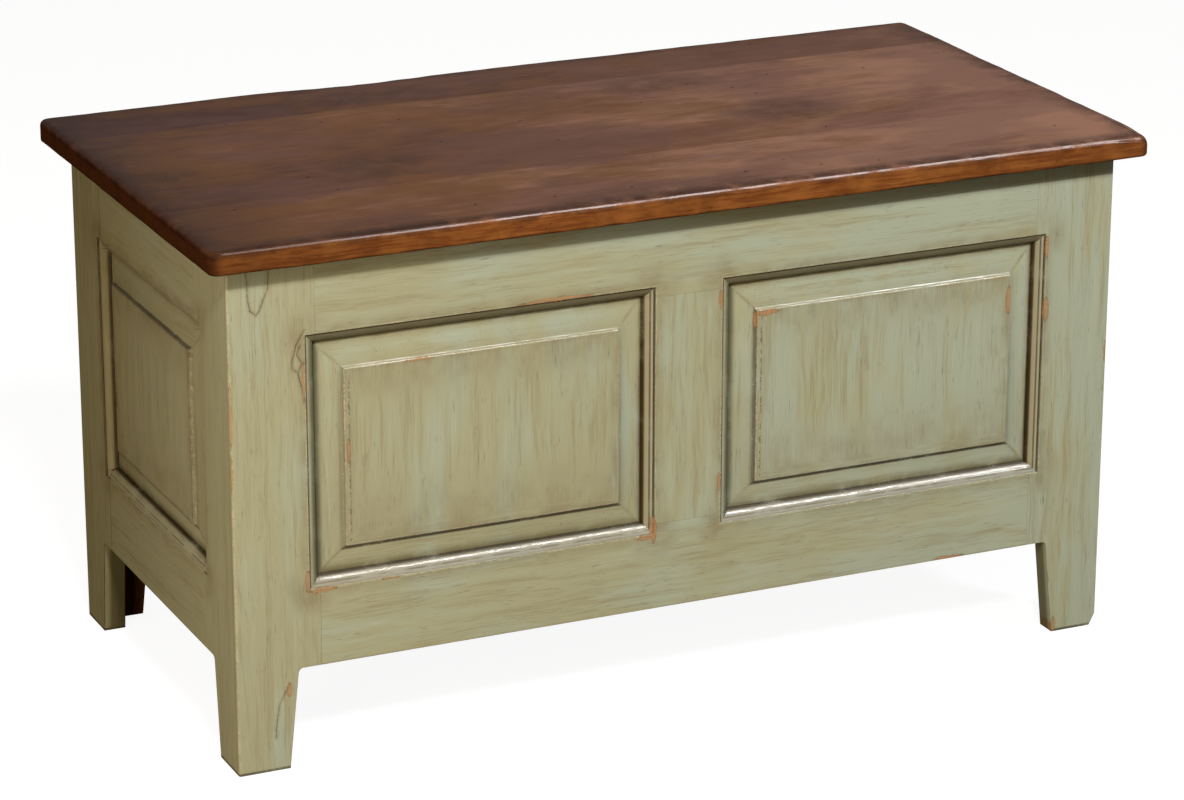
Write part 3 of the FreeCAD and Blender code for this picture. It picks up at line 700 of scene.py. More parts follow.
# %% Mix the paint for one wall
def painted(name, wall_name, grain, panel=False):
    """Sage paint under brown glaze for one wall's frame pieces or panels."""
    f = Finish(name)
    wall = Wall(f, wall_name)
    raised = panel and wall_name != "back"
    marks = paint_marks(f, wall, grain, raised)
    if raised:
        glaze = glaze_on_raised_panel(f, wall)
    elif panel:
        glaze = glaze_on_flat_panel(f, wall)
    else:
        glaze = glaze_on_frame(f, wall, grain)
    glaze.line = glaze.line * f.fade(marks.blotch * 0.6 + marks.crumbs * 0.4, 0.28, 0.48)
    colour = coats(f, wall, marks, glaze)
    colour, bare = sanded(f, wall, panel, marks, glaze, colour)
    colour, inside = stained_inside(f, wall, panel, marks, colour)
    colour = shaded(f, wall, panel, colour, inside)

    height = (marks.fine - 0.5) * 0.12 + (marks.wide - 0.5) * 0.12 - marks.pores * 0.08 - bare * 0.12
    height = height + (marks.crumbs - 0.5) * (0.05 + glaze.gloss * 0.10) - glaze.line * 0.12
    height = height + (marks.wiped - 0.5) * glaze.gloss * 0.14
    rough = 0.42 + (marks.fine - 0.5) * 0.30 + bare * 0.25 + inside * 0.15
    coat = (0.10 + glaze.gloss * (1.0 if panel else 0.55)) * (1 - inside) * (1 - bare)
    coat = coat * (0.9 if wall_name == "front" else 0.12)
    coat = coat * (0.15 + f.fade(marks.crumbs * 0.4 + marks.wiped * 0.6, 0.44, 0.56) * 0.85)
    return f.surface(Base_Color=colour, Roughness=rough, Normal=f.bump(height), Coat_Weight=coat,
                     Coat_Roughness=0.12, Specular_IOR_Level=0.0)


paints = {}
for wall_name in ("front", "side", "back"):
    paints[f"{wall_name}_up"] = painted(f"paint_{wall_name}_stiles", wall_name, "up")
    paints[f"{wall_name}_along"] = painted(f"paint_{wall_name}_rails", wall_name, "along")
    paints[f"{wall_name}_panel"] = painted(f"paint_{wall_name}_panels", wall_name, "up", panel=True)
print("paints:", ", ".join(paints))

# %% [markdown]
# ## The lid's stain and lacquer
#
# The lid is brown stained planks with the grain along the chest. Each plank
# is a little different in tone, and the whole lid is painted from dark at its
# left end to light at its right end, a painted sheen and shade as the light
# fell on it. The maker rubbed smoky clouds into the top, darkened its border
# and the worn arris, and left wormholes and small dents. The lacquer gives a
# soft sheen, and the edge is polished where hands took hold of it.
#
# A plank's own tone comes from which board a point is on. The larger clouds
# are listed: across, back from the middle, and half their width and depth,
# in millimetres.

# %% Colours and clouds of the lid
LID_DARK = linear("4a2b20")
LID_BROWN = linear("6b452b")
LID_LIGHT = linear("996d56")
LID_PLUM = linear("64443f")
LID_OCHRE = linear("704821")
LID_BURNT = linear("2c150c")
LID_SMOKE = linear("38211a")
EDGE_DARK = linear("6c3c1c")
EDGE_LIGHT = linear("8e572a")
WORMHOLE = linear("1c0e08")
WORM_CELL = 95.0

lid_names = ["lid_front_board", "lid_front_middle_board", "lid_back_middle_board", "lid_back_board"]
lid_low = Vector(min(box_mm(name)[0][i] for name in lid_names) for i in range(3))
lid_high = Vector(max(box_mm(name)[1][i] for name in lid_names) for i in range(3))
lid_joints = [box_mm(name)[0].y for name in lid_names[1:]]
BOARD_TONES = [0.12, -0.04, 0.03, -0.24]
SMOKED = [
    (-144.0, 195.0, 85.0, 42.0),
    (-440.0, 5.0, 60.0, 26.0),
    (-250.0, -45.0, 55.0, 60.0),
    (192.0, -18.0, 62.0, 48.0),
    (-27.0, -226.0, 140.0, 30.0),
    (124.0, 120.0, 80.0, 46.0),
    (-300.0, -228.0, 90.0, 30.0),
    (462.0, 180.0, 34.0, 70.0),
    (-462.0, 205.0, 70.0, 48.0),
]
print("lid from", tuple(lid_low), "to", tuple(lid_high), "mm")

# %% [markdown]
# The stain's noises are long along the grain and short across it. One level,
# from 0 to 1, picks the brown: it adds up the lean from left to right, which
# is painted sheen and shade, the plank's tone, the clouds, the figure and the
# grain.


# %% Stain the planks
def lid_marks(f):
    """Every noise that the stain is mixed from, and a point's place on the lid."""
    loose = f.wander(110.0, 9.0)
    inset_x = lid_high.x - abs(f.x)
    inset_y = lid_high.y - abs(f.y)
    return SimpleNamespace(
        clouds=f.cloud((170.0, 75.0, 60.0), roughness=0.55, place=loose),
        hue=f.cloud((130.0, 70.0, 60.0), detail=2.0, step=(400.0, 90.0, 0.0), place=loose),
        grain=f.cloud((70.0, 2.2, 2.2), detail=4.0, roughness=0.6, place=loose),
        figure=f.cloud((38.0, 14.0, 14.0), detail=4.0, roughness=0.65, step=(9.0, 4.0, 2.0),
                       place=loose),
        flecks=f.cloud((9.0, 1.1, 1.1), detail=2.0, step=(44.0, 3.0, 8.0), place=loose),
        blotch=f.cloud((26.0,) * 3, detail=4.0, roughness=0.6),
        lean=(f.x - lid_low.x) / (lid_high.x - lid_low.x),
        inset_x=inset_x, inset_y=inset_y, inset=inset_x.least(inset_y),
        top=f.fade(f.z, lid_high.z - 5.0, lid_high.z - 0.5))


def plank_colours(f, marks):
    """The planks' own browns, with a painted sheen that lightens them towards the right end."""
    tone = BOARD_TONES[0]
    for joint, before, after in zip(lid_joints, BOARD_TONES, BOARD_TONES[1:]):
        tone = f.fade(f.y, joint - 0.3, joint + 0.3) * (after - before) + tone
    # The lean is painted sheen and shade: the planks lighter, and a little more plum, towards the right
    # end.
    level = marks.lean * 0.66 + 0.23 + tone + (marks.clouds - 0.5) * 0.85
    level = level + (marks.figure - 0.5) * 0.55 + (marks.grain - 0.5) * 0.50
    colour = f.blend(f.fade(level, 0.0, 0.5), LID_DARK, LID_BROWN)
    colour = f.blend(f.fade(level, 0.42, 1.0), colour, LID_LIGHT)
    colour = f.blend(f.fade(marks.hue + marks.lean * 0.10, 0.50, 0.66) * 0.4, colour, LID_PLUM)
    return f.blend(f.fade(marks.hue + marks.lean * 0.16, 0.54, 0.40) * 0.45, colour, LID_OCHRE)


# %% [markdown]
# On the top come the clouds and the dark border. On the edge the stain is
# lighter, with dark ends, and the arris above and the lip below are darker
# again, because the stain gathered there.


# %% Darken the top and the edge
def darkened_top(f, marks, colour):
    """Smoky clouds, and a darker border around the lid's top."""
    drift_x, drift_y = (marks.clouds - 0.5) * 120.0, (marks.blotch - 0.5) * 50.0
    smoke = f.fade(rubbed(SMOKED, f.x + drift_x, f.y + drift_y), 0.0, 0.9)
    smoke = smoke * f.fade(marks.figure * 0.5 + marks.blotch * 0.5, 0.34, 0.60)
    colour = f.blend(smoke * 0.5, colour, LID_SMOKE)
    burnt = f.fade(marks.inset_x + (marks.blotch - 0.5) * 60.0, 34.0, 0.0)
    burnt = burnt.most(f.fade(marks.inset_y, 26.0, 3.0)) * marks.top
    burnt = burnt * f.fade(marks.clouds * 0.4 + marks.blotch * 0.6, 0.34, 0.56)
    colour = f.blend(burnt * 0.8, colour, LID_BURNT)
    left_end = f.fade(f.x, lid_low.x + 150.0, lid_low.x) * marks.top
    return f.blend(left_end * 0.45, colour, LID_BURNT)


def edge_colours(f, marks, colour):
    """The lighter edge of the lid, with dark ends, arris and lower lip."""
    tone = f.blend(f.fade(marks.figure * 0.4 + marks.grain * 0.6, 0.40, 0.60), EDGE_DARK, EDGE_LIGHT)
    burnt = f.fade(marks.blotch * 0.45 + marks.grain * 0.55, 0.51, 0.63)
    tone = f.blend(burnt * 0.36, tone, LID_BURNT)
    ends = f.fade(marks.inset_x, 14.0, 2.0)
    tone = f.blend(ends * 0.75, tone, LID_BURNT)
    tone = f.blend(f.fade(f.x, -200.0, lid_low.x) * 0.45, tone, LID_BURNT)
    colour = f.blend((1 - marks.top) * f.fade(marks.inset, 9.0, 3.0), colour, tone)
    outer = f.fade(marks.inset, 8.0, 2.0)
    arris = f.fade(abs(f.z - (lid_high.z - 4.5)), 4.0, 1.0) * outer
    arris = arris * f.fade(marks.blotch, 0.36, 0.58)
    colour = f.blend(arris * (ends * 0.45 + 0.4), colour, LID_BURNT)
    lip = f.fade(f.z, lid_low.z + 3.5, lid_low.z + 1.5) * outer
    lip = lip * f.fade(marks.blotch * 0.5 + marks.figure * 0.5, 0.40, 0.56)
    return f.blend(lip * 0.6, colour, LID_BURNT)


# %% [markdown]
# The last marks are the flecks and wormholes. A wormhole is a point near the
# middle of one of the large cells that a Voronoi texture lays over the top.


# %% Mix the lid's stain
def dents(f, marks):
    """Short dark flecks along the grain, and round wormholes in the top."""
    flecks = f.fade(marks.flecks, 0.69, 0.75) * f.fade(marks.blotch, 0.48, 0.60)
    cells = {"Vector": f.scaled(f.place, (1 / WORM_CELL,) * 3), "Scale": 1.0}
    worm = f.node("ShaderNodeTexVoronoi", {"voronoi_dimensions": "2D"}, cells) * WORM_CELL
    return flecks.most(f.fade(worm + (marks.figure - 0.5) * 9.0, 1.5, 0.6) * marks.top)


def lid_stain():
    """Dark stained planks under satin lacquer."""
    f = Finish("lid_stain")
    marks = lid_marks(f)
    colour = plank_colours(f, marks)
    colour = darkened_top(f, marks, colour)
    colour = edge_colours(f, marks, colour)
    dented = dents(f, marks)
    colour = f.blend(dented * 0.85, colour, WORMHOLE)
    under = f.fade(f.z, lid_low.z + 1.2, lid_low.z + 0.3)
    colour = f.blend(under * 0.6, colour, STAIN_DARK)

    height = (marks.grain - 0.5) * 0.05 + (marks.clouds - 0.5) * 0.30
    height = height + (marks.blotch - 0.5) * 0.12 - dented * 0.3
    rough = 0.42 + (marks.grain - 0.5) * 0.2 + (marks.blotch - 0.5) * 0.2
    polished = f.fade(f.z, lid_high.z - 7.0, lid_high.z - 4.5) * f.fade(marks.inset_y, 6.5, 4.5)
    coat = polished * f.fade(marks.blotch * 0.7 + marks.figure * 0.3, 0.34, 0.54)
    coat = coat * (f.fade(f.x, lid_low.x, -100.0) * 0.19 + 0.08)
    return f.surface(Base_Color=colour, Roughness=rough, Normal=f.bump(height),
                     Coat_Weight=coat.most(marks.top * 0.10), Coat_Roughness=0.16,
                     Specular_IOR_Level=0.0)


lid_finish = lid_stain()
print("lid finish:", lid_finish.name)

# %% [markdown]
# ## Plain stained wood, brass, steel and rubber
#
# The bottom board and its ledgers are stained dark and left matt. The hinges
# are brass that has gone brown, the stays are plated steel, and the lid
# closes on four rubber pads.


# %% Mix the other finishes
def inside_stain():
    """Dark brown stain, matt, with the grain along the chest."""
    f = Finish("inside_stain")
    broad = f.cloud((300.0, 12.0, 12.0))
    fine = f.cloud((90.0, 1.4, 1.4), roughness=0.65)
    colour = f.blend(f.fade(broad * 0.6 + fine * 0.4, 0.38, 0.62), STAIN_LIGHT, STAIN_DARK)
    height = (fine - 0.5) * 0.12
    return f.surface(Base_Color=colour, Roughness=0.55 + (fine - 0.5) * 0.2, Normal=f.bump(height),
                     Specular_IOR_Level=0.08)


def aged_metal(name, bright, dull, rough, brushed):
    """Metal with dull patches, fine scratches and a satin surface."""
    f = Finish(name)
    patches = f.cloud((9.0, 9.0, 9.0), detail=4.0, roughness=0.6)
    scratches = f.cloud(brushed, detail=2.0, roughness=0.7)
    specks = f.cloud((1.1, 1.1, 1.1), detail=2.0)
    dulled = f.fade(patches * 0.7 + specks * 0.3, 0.34, 0.74)
    colour = f.blend(dulled, linear(bright), linear(dull))
    roughness = rough + dulled * 0.22 + (scratches - 0.5) * 0.25
    height = (scratches - 0.5) * 0.02 + (specks - 0.5) * 0.02
    return f.surface(Base_Color=colour, Metallic=1 - dulled * 0.35, Roughness=roughness,
                     Normal=f.bump(height))


def pad_rubber():
    """Dark rubber with a dusty bloom."""
    f = Finish("pad_rubber")
    dust = f.cloud((2.0, 2.0, 2.0), detail=4.0)
    colour = f.blend(f.fade(dust, 0.4, 0.65), linear("2a2725"), linear("4a4541"))
    return f.surface(Base_Color=colour, Roughness=0.75 + (dust - 0.5) * 0.3,
                     Normal=f.bump((dust - 0.5) * 0.05))


inside_finish = inside_stain()
brass = aged_metal("hinge_brass", "a5803f", "755730", 0.30, (14.0, 0.5, 0.5))
steel = aged_metal("stay_steel", "b9b7b0", "77736a", 0.26, (0.5, 0.5, 12.0))
rubber = pad_rubber()
print("finishes:", inside_finish.name, brass.name, steel.name, rubber.name)

# %% [markdown]
# ## Softened edges on the model's own pieces
#
# The model's rails, muntins, panels and fittings have the right shape, but
# every arris is dead sharp, and no painted edge is. Three modifiers soften
# them without touching the mesh: Weld joins the corners of the triangles,
# Decimate joins flat triangles into whole faces, and Bevel rounds what is
# left by a fraction of a millimetre, which catches the light as paint does.
# The panels' fields have the widest rounds, because they were sanded most.

# %% Soften the model's pieces
FRAME_ROUND = 0.4
PANEL_ROUND = 1.5
BOARD_ROUND = 0.8
METAL_ROUND = 0.25
PAD_ROUND = 0.3


def weigh_normals(piece):
    """Let large faces shade flat, and only the small rounds between them turn."""
    weighted = piece.modifiers.new("weighted", "WEIGHTED_NORMAL")
    weighted.mode = "FACE_AREA"
    weighted.weight = 50
    weighted.keep_sharp = False


def soften(node, radius_mm):
    """Round every sharp edge of a piece of the model."""
    weld = node.modifiers.new("weld", "WELD")
    weld.merge_threshold = 0.01 * MM
    flat = node.modifiers.new("flat", "DECIMATE")
    flat.decimate_type = "DISSOLVE"
    flat.angle_limit = math.radians(1)
    bevel = node.modifiers.new("bevel", "BEVEL")
    bevel.width = radius_mm * MM
    bevel.segments = 2
    bevel.limit_method = "ANGLE"
    bevel.angle_limit = math.radians(35)
    bevel.use_clamp_overlap = False
    weigh_normals(node)


# %% [markdown]
# A piece's name says what it is, and so which finish and round it gets. The
# stiles and the lid's boards get none here, because they are made anew below.

# %% Dress the model's pieces
def finish_of(name):
    """The material and round of a piece, or nothing where it is made anew."""
    wall = next((w for w in ("front", "back") if name.startswith(w)), "side")
    if name.endswith("_rail"):
        return paints[f"{wall}_along"], FRAME_ROUND
    if name.endswith("_muntin"):
        return paints[f"{wall}_up"], FRAME_ROUND
    if name.endswith("_panel"):
        return paints[f"{wall}_panel"], PANEL_ROUND
    if name.endswith("_ledger") or name in ("bottom_board", "corner_splines"):
        return inside_finish, BOARD_ROUND
    if "_hinge_" in name:
        return brass, METAL_ROUND
    if "_stay_" in name:
        return steel, METAL_ROUND
    if name == "lid_pads":
        return rubber, PAD_ROUND
    return None


for name, node in nodes.items():
    if finish_of(name):
        material, radius_mm = finish_of(name)
        node.data.materials.clear()
        node.data.materials.append(material)
        soften(node, radius_mm)
print("softened", sum(1 for node in nodes.values() if node.modifiers), "pieces")

# %% [markdown]
# ## Corner posts
#
# On the real chest the mitre between two stiles is glued and painted over,
# so each corner reads as one post with a rounded arris. The two stiles of the
# model are joined here: the faces inside the mitre go, the skins are welded,
# and the outer arris gets a larger round than the rest. The leg's tapers
# and the moulding come along from the model. The outer corner of one front
# foot was knocked off in use, so a cut is made across that foot and the
# corner below it is moved inward.

# %% Join each corner's two stiles
ARRIS_RADIUS = 2.2
SMALL_RADIUS = 0.4
KNOCKED_HEIGHT = 12.0
KNOCKED_REACH = 6.0


def new_piece(name, mesh_source, body, replaced, material_list):
    """A finished piece from a bmesh, riding on a body."""
    mesh = bpy.data.meshes.new(name)
    mesh_source.to_mesh(mesh)
    mesh_source.free()
    mesh.shade_smooth()
    mesh.set_sharp_from_angle(angle=math.radians(32))
    for material in material_list:
        mesh.materials.append(material)
    piece = bpy.data.objects.new(name, mesh)
    bpy.context.scene.collection.objects.link(piece)
    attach(piece, body)
    if replaced:
        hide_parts(*replaced)
    return piece


def insets_of(vert, x_sign, y_sign):
    """How far a corner of the mesh lies behind the side face and the long face."""
    return half_width - x_sign * vert.co.x / MM, half_depth - y_sign * vert.co.y / MM


def corner_post(stile_names, x_sign, y_sign):
    """One mesh from the two stiles of a corner."""
    shape = bmesh.new()
    for index, stile_name in enumerate(stile_names):
        count = len(shape.faces)
        shape.from_mesh(nodes[stile_name].data)
        for face in list(shape.faces)[count:]:
            face.material_index = index
    bmesh.ops.remove_doubles(shape, verts=shape.verts, dist=0.01 * MM)
    hidden = []
    for face in shape.faces:
        insets = [insets_of(vert, x_sign, y_sign) for vert in face.verts]
        on_mitre = all(abs(a - b) < 0.01 for a, b in insets)
        in_slot = all(1.0 < inset < board_thickness - 1.0 for pair in insets for inset in pair)
        if on_mitre or in_slot:
            hidden.append(face)
    bmesh.ops.delete(shape, geom=hidden, context="FACES")
    bmesh.ops.dissolve_limit(shape, angle_limit=math.radians(1), verts=shape.verts, edges=shape.edges,
                             delimit={"MATERIAL"})
    outer = [edge for edge in shape.edges
             if all(max(insets_of(vert, x_sign, y_sign)) < 0.01 for vert in edge.verts)]
    bmesh.ops.bevel(shape, geom=outer, offset=ARRIS_RADIUS * MM, segments=4, profile=0.5,
                    affect="EDGES", clamp_overlap=False)
    sharp = [edge for edge in shape.edges
             if len(edge.link_faces) == 2 and edge.calc_face_angle() > math.radians(50)]
    bmesh.ops.bevel(shape, geom=sharp, offset=SMALL_RADIUS * MM, segments=2, profile=0.5,
                    affect="EDGES", clamp_overlap=False)
    return shape


def knock_foot(shape, x_sign, y_sign):
    """Wear away the outer corner of a post's foot, up from the floor."""
    geometry = shape.verts[:] + shape.edges[:] + shape.faces[:]
    bmesh.ops.bisect_plane(shape, geom=geometry, plane_co=(0, 0, KNOCKED_HEIGHT * MM),
                           plane_no=(0, 0, 1), dist=1e-7)
    corner = [vert for vert in shape.verts
              if max(insets_of(vert, x_sign, y_sign)) < ARRIS_RADIUS + SMALL_RADIUS + 1]
    for vert in corner:
        low = max(1 - vert.co.z / MM / KNOCKED_HEIGHT, 0)
        vert.co.x -= x_sign * KNOCKED_REACH * low * MM


for side, x_sign in (("left", -1), ("right", 1)):
    for wall, y_sign in (("front", -1), ("back", 1)):
        name = f"{wall}_{side}_corner_post"
        stiles = [f"{wall}_{side}_stile", f"{side}_{wall}_stile"]
        shape = corner_post(stiles, x_sign, y_sign)
        if name == "front_right_corner_post":
            knock_foot(shape, x_sign, y_sign)
        post = new_piece(name, shape, "case", stiles, [paints[f"{wall}_up"], paints["side_up"]])
        weigh_normals(post)
        print(name, len(post.data.polygons), "faces")

# %% [markdown]
# ## The lid's boards
#
# The lid's edge was rounded with a hand tool and then worn, so the round is
# wider here and narrower there. The edge is made as a string of profiles
# around the lid's outline. Smooth noise along the outline changes the top
# round, the lower round and how far the face is worn back, always inward, so
# the lid never leaves the model's box. The back edge also has one place that
# is worn hollow and one that stands proud, and the front right corner is
# rounder than the rest. Then the whole is cut into its boards.

# %% Trace the lid's outline
LID_CORNER = 11.0
CORNER_STEPS = 6
OUTLINE_STEP = 4.0


def lid_outline():
    """Points around the lid with the way inward at each, in millimetres."""
    reach = Vector((lid_high.x - LID_CORNER, lid_high.y - LID_CORNER))
    points = []
    corners = [(1, 1, 0), (-1, 1, 90), (-1, -1, 180), (1, -1, 270)]
    for index, (x_sign, y_sign, start) in enumerate(corners):
        centre = Vector((x_sign * reach.x, y_sign * reach.y))
        for step in range(CORNER_STEPS + 1):
            angle = math.radians(start + 90 * step / CORNER_STEPS)
            way = Vector((math.cos(angle), math.sin(angle)))
            points.append((centre + way * LID_CORNER, -way))
        next_x, next_y, next_start = corners[(index + 1) % 4]
        way = Vector((math.cos(math.radians(next_start)), math.sin(math.radians(next_start))))
        begin = centre + way * LID_CORNER
        end = Vector((next_x * reach.x, next_y * reach.y)) + way * LID_CORNER
        count = int((end - begin).length / OUTLINE_STEP)
        for step in range(1, count):
            points.append((begin.lerp(end, step / count), -way))
    return points


print(len(lid_outline()), "points around the lid")

# %% [markdown]
# Each profile starts under the lid, goes round the small lower arris, up the
# worn face and round the larger top arris, which is wider than it is deep.

# %% Shape the worn lid
TOP_ROUND = 7.0
TOP_FLATNESS = 0.86
LOWER_ROUND = 2.6
TOP_STEPS = 6
LOWER_STEPS = 3
WORN_X = -137.0
PROUD_X = -265.0
WORN_REACH = 60.0
CORNER_REACH = 30.0


def waver(point, length, seed):
    """Smooth noise from -1 to 1 at a point of the outline."""
    return noise.noise(Vector((point.x / length, point.y / length, seed)))


def edge_profile(point):
    """The worn edge at one point, as pairs of inset and height, from below to the top."""
    top = TOP_ROUND * (1 + 0.22 * waver(point, 70, 1.3) + 0.12 * waver(point, 17, 4.1))
    if point.y > 0:
        hollow = math.exp(-(((point.x - WORN_X) / WORN_REACH) ** 2))
        proud = math.exp(-(((point.x - PROUD_X) / WORN_REACH) ** 2))
        top *= 1 + 1.1 * hollow - 0.55 * proud
    from_corner = (point - Vector((lid_high.x, lid_low.y))).length
    top *= 1 + 0.8 * math.exp(-((from_corner / CORNER_REACH) ** 2))
    lower = LOWER_ROUND * (1 + 0.4 * waver(point, 45, 7.7))
    back = 0.45 + 0.35 * waver(point, 110, 2.2) + 0.15 * waver(point, 14, 9.4)
    back = max(back, 0.02)
    rows = [(back + lower + 2, lid_low.z)]
    for step in range(LOWER_STEPS + 1):
        angle = math.radians(90 * step / LOWER_STEPS)
        rows.append((back + lower * (1 - math.sin(angle)), lid_low.z + lower * (1 - math.cos(angle))))
    for step in range(TOP_STEPS + 1):
        angle = math.radians(90 * step / TOP_STEPS)
        drop = top * TOP_FLATNESS * (1 - math.sin(angle))
        rows.append((back + top * (1 - math.cos(angle)), lid_high.z - drop))
    return rows


def worn_lid():
    """The whole lid as one closed mesh."""
    shape = bmesh.new()
    rings = []
    for point, inward in lid_outline():
        ring = []
        for inset, height in edge_profile(point):
            spot = point + inward * inset
            ring.append(shape.verts.new((spot.x * MM, spot.y * MM, height * MM)))
        rings.append(ring)
    for ring, after in zip(rings, rings[1:] + rings[:1]):
        for low in range(len(ring) - 1):
            shape.faces.new((ring[low], after[low], after[low + 1], ring[low + 1]))
    shape.faces.new([ring[-1] for ring in rings])
    shape.faces.new([ring[0] for ring in reversed(rings)])
    bmesh.ops.recalc_face_normals(shape, faces=shape.faces)
    return shape


# %% [markdown]
# The joints between boards are tight, so each cut edge is only eased by a
# fifth of a millimetre, enough for a fine line.

# %% Cut the lid into boards
JOINT_EASE = 0.2


def cut_board(whole, low_y, high_y):
    """The part of the lid between two joints, with its cut faces closed."""
    shape = whole.copy()
    cuts = [(low_y, 1)] if low_y > lid_low.y + 1 else []
    cuts += [(high_y, -1)] if high_y < lid_high.y - 1 else []
    for y, keep in cuts:
        geometry = shape.verts[:] + shape.edges[:] + shape.faces[:]
        bmesh.ops.bisect_plane(shape, geom=geometry, plane_co=(0, y * MM, 0),
                               plane_no=(0, keep, 0), clear_inner=True, dist=1e-7)
        rim = [edge for edge in shape.edges if edge.is_boundary]
        bmesh.ops.contextual_create(shape, geom=rim)
        rim = [edge for edge in shape.edges
               if all(abs(vert.co.y / MM - y) < 0.01 for vert in edge.verts)]
        bmesh.ops.bevel(shape, geom=rim, offset=JOINT_EASE * MM, segments=1, affect="EDGES",
                        clamp_overlap=False)
    bmesh.ops.recalc_face_normals(shape, faces=shape.faces)
    return shape


whole_lid = worn_lid()
board_edges = [lid_low.y, *lid_joints, lid_high.y]
for name, low_y, high_y in zip(lid_names, board_edges, board_edges[1:]):
    shape = cut_board(whole_lid, low_y, high_y)
    board = new_piece(f"worn_{name}", shape, "lid", [name], [lid_finish])
    weigh_normals(board)
    print(board.name, len(board.data.polygons), "faces")
whole_lid.free()

# %% [markdown]
# ## Screws
#
# The model has countersunk holes in the hinge leaves, the brackets and the
# side plates, but no screws. Each screw here is a slotted head: two halves
# of a disc with a slot between them, on a cone that fills the countersink.

# %% Shape one slotted screw head
HEAD_RADIUS = 3.9
SHANK_RADIUS = 2.0
HEAD_HEIGHT = 1.9
SLOT_HALF = 0.45
SLOT_DEPTH = 0.9
ARC_STEPS = 10


def add_screw(shape, head, outward, turn):
    """Add a slotted head at a point, facing a way, with its slot turned."""
    spin = Vector((0, 0, 1)).rotation_difference(outward)

    def vert(radius_x, radius_y, height):
        flat = Vector((radius_x, radius_y, height))
        flat.rotate(Vector((1, 0, 0)).rotation_difference(Vector((math.cos(turn), math.sin(turn), 0))))
        flat.rotate(spin)
        return shape.verts.new((head + flat) * MM)

    first = math.asin(SLOT_HALF / HEAD_RADIUS)
    for half in (1, -1):
        top, foot = [], []
        for step in range(ARC_STEPS + 1):
            angle = first + (math.pi - 2 * first) * step / ARC_STEPS
            along, off = math.cos(angle), half * math.sin(angle)
            top.append(vert(HEAD_RADIUS * along, HEAD_RADIUS * off, 0))
            foot.append(vert(SHANK_RADIUS * along, SHANK_RADIUS * off, -HEAD_HEIGHT))
        shape.faces.new(top)
        for step in range(ARC_STEPS):
            shape.faces.new((top[step], top[step + 1], foot[step + 1], foot[step]))
        floor = [vert(end * HEAD_RADIUS * math.cos(first), half * SLOT_HALF, -SLOT_DEPTH)
                 for end in (1, -1)]
        shape.faces.new((top[0], top[-1], floor[1], floor[0]))
    corners = [(1, 1), (-1, 1), (-1, -1), (1, -1)]
    shape.faces.new([vert(x * HEAD_RADIUS * math.cos(first), y * SLOT_HALF, -SLOT_DEPTH)
                     for x, y in corners])


# %% [markdown]
# Three screws hold each hinge leaf, and two hold each bracket and plate. They
# stand on the middle line of the free part of the leaf or plate, and each
# slot stands at its own angle, as it stopped when the screw was tight.

# %% Set the screws
HINGE_PITCH = 21.0
BRACKET_PITCH = 22.0
PLATE_PITCH = 28.0
LEAF = 2.0
KNUCKLE_GAP = 0.3


def row_of(middle, axis, pitch, count):
    """Places in a row, evenly spaced around a middle."""
    places = [Vector(middle) for _ in range(count)]
    for index, place in enumerate(places):
        place[axis] += (index - (count - 1) / 2) * pitch
    return places


def screw_row(name, places, outward, body, material):
    """A row of screws as one piece."""
    shape = bmesh.new()
    for index, place in enumerate(places):
        add_screw(shape, place, Vector(outward), 0.5 + 1.1 * index)
    bmesh.ops.recalc_face_normals(shape, faces=shape.faces)
    piece = new_piece(name, shape, body, [], [material])


for side, x_sign in (("left", -1), ("right", 1)):
    pin_low, pin_high = box_mm(f"{side}_hinge_pin")
    pin = (pin_low + pin_high) / 2
    leaf_low, leaf_high = box_mm(f"{side}_hinge_case_leaf")
    knuckle = leaf_high.z - pin.z
    middle = (pin.x, leaf_low.y + LEAF, (leaf_low.z + 2 * pin.z - leaf_high.z - KNUCKLE_GAP) / 2)
    row = row_of(middle, 0, HINGE_PITCH, 3)
    screw_row(f"{side}_hinge_case_screws", row, (0, 1, 0), "case", brass)
    leaf_low, leaf_high = box_mm(f"{side}_hinge_lid_leaf")
    middle = (pin.x, (leaf_high.y + pin.y + knuckle + KNUCKLE_GAP) / 2, leaf_high.z - LEAF)
    row = row_of(middle, 0, HINGE_PITCH, 3)
    screw_row(f"{side}_hinge_lid_screws", row, (0, 0, -1), "lid", brass)
    plate_low, plate_high = box_mm(f"{side}_stay_side_plate")
    plate = (plate_low + plate_high) / 2
    row = row_of((plate.x - x_sign * LEAF / 2, plate.y, plate.z), 1, PLATE_PITCH, 2)
    screw_row(f"{side}_stay_plate_screws", row, (-x_sign, 0, 0), "case", steel)
    bracket_low, bracket_high = box_mm(f"{side}_stay_lid_bracket")
    bracket = (bracket_low + bracket_high) / 2
    middle = (bracket.x - x_sign * LEAF / 2, bracket.y, bracket_high.z - LEAF)
    row = row_of(middle, 1, BRACKET_PITCH, 2)
    screw_row(f"{side}_stay_bracket_screws", row, (0, 0, -1), "lid", steel)
print("screws set")

# %% [markdown]
# ## Light and background
#
# The photograph was lit softly from high up, on a plain white background.
# The floor and the world are white for what the camera and the reflections
# see, while the light that they give stays plain. The floor lies a hair
# below the feet, so that their undersides don't fight with it.

# %% Make the floor
FLOOR_HALF = 12.0
FLOOR_DROP = 0.0002


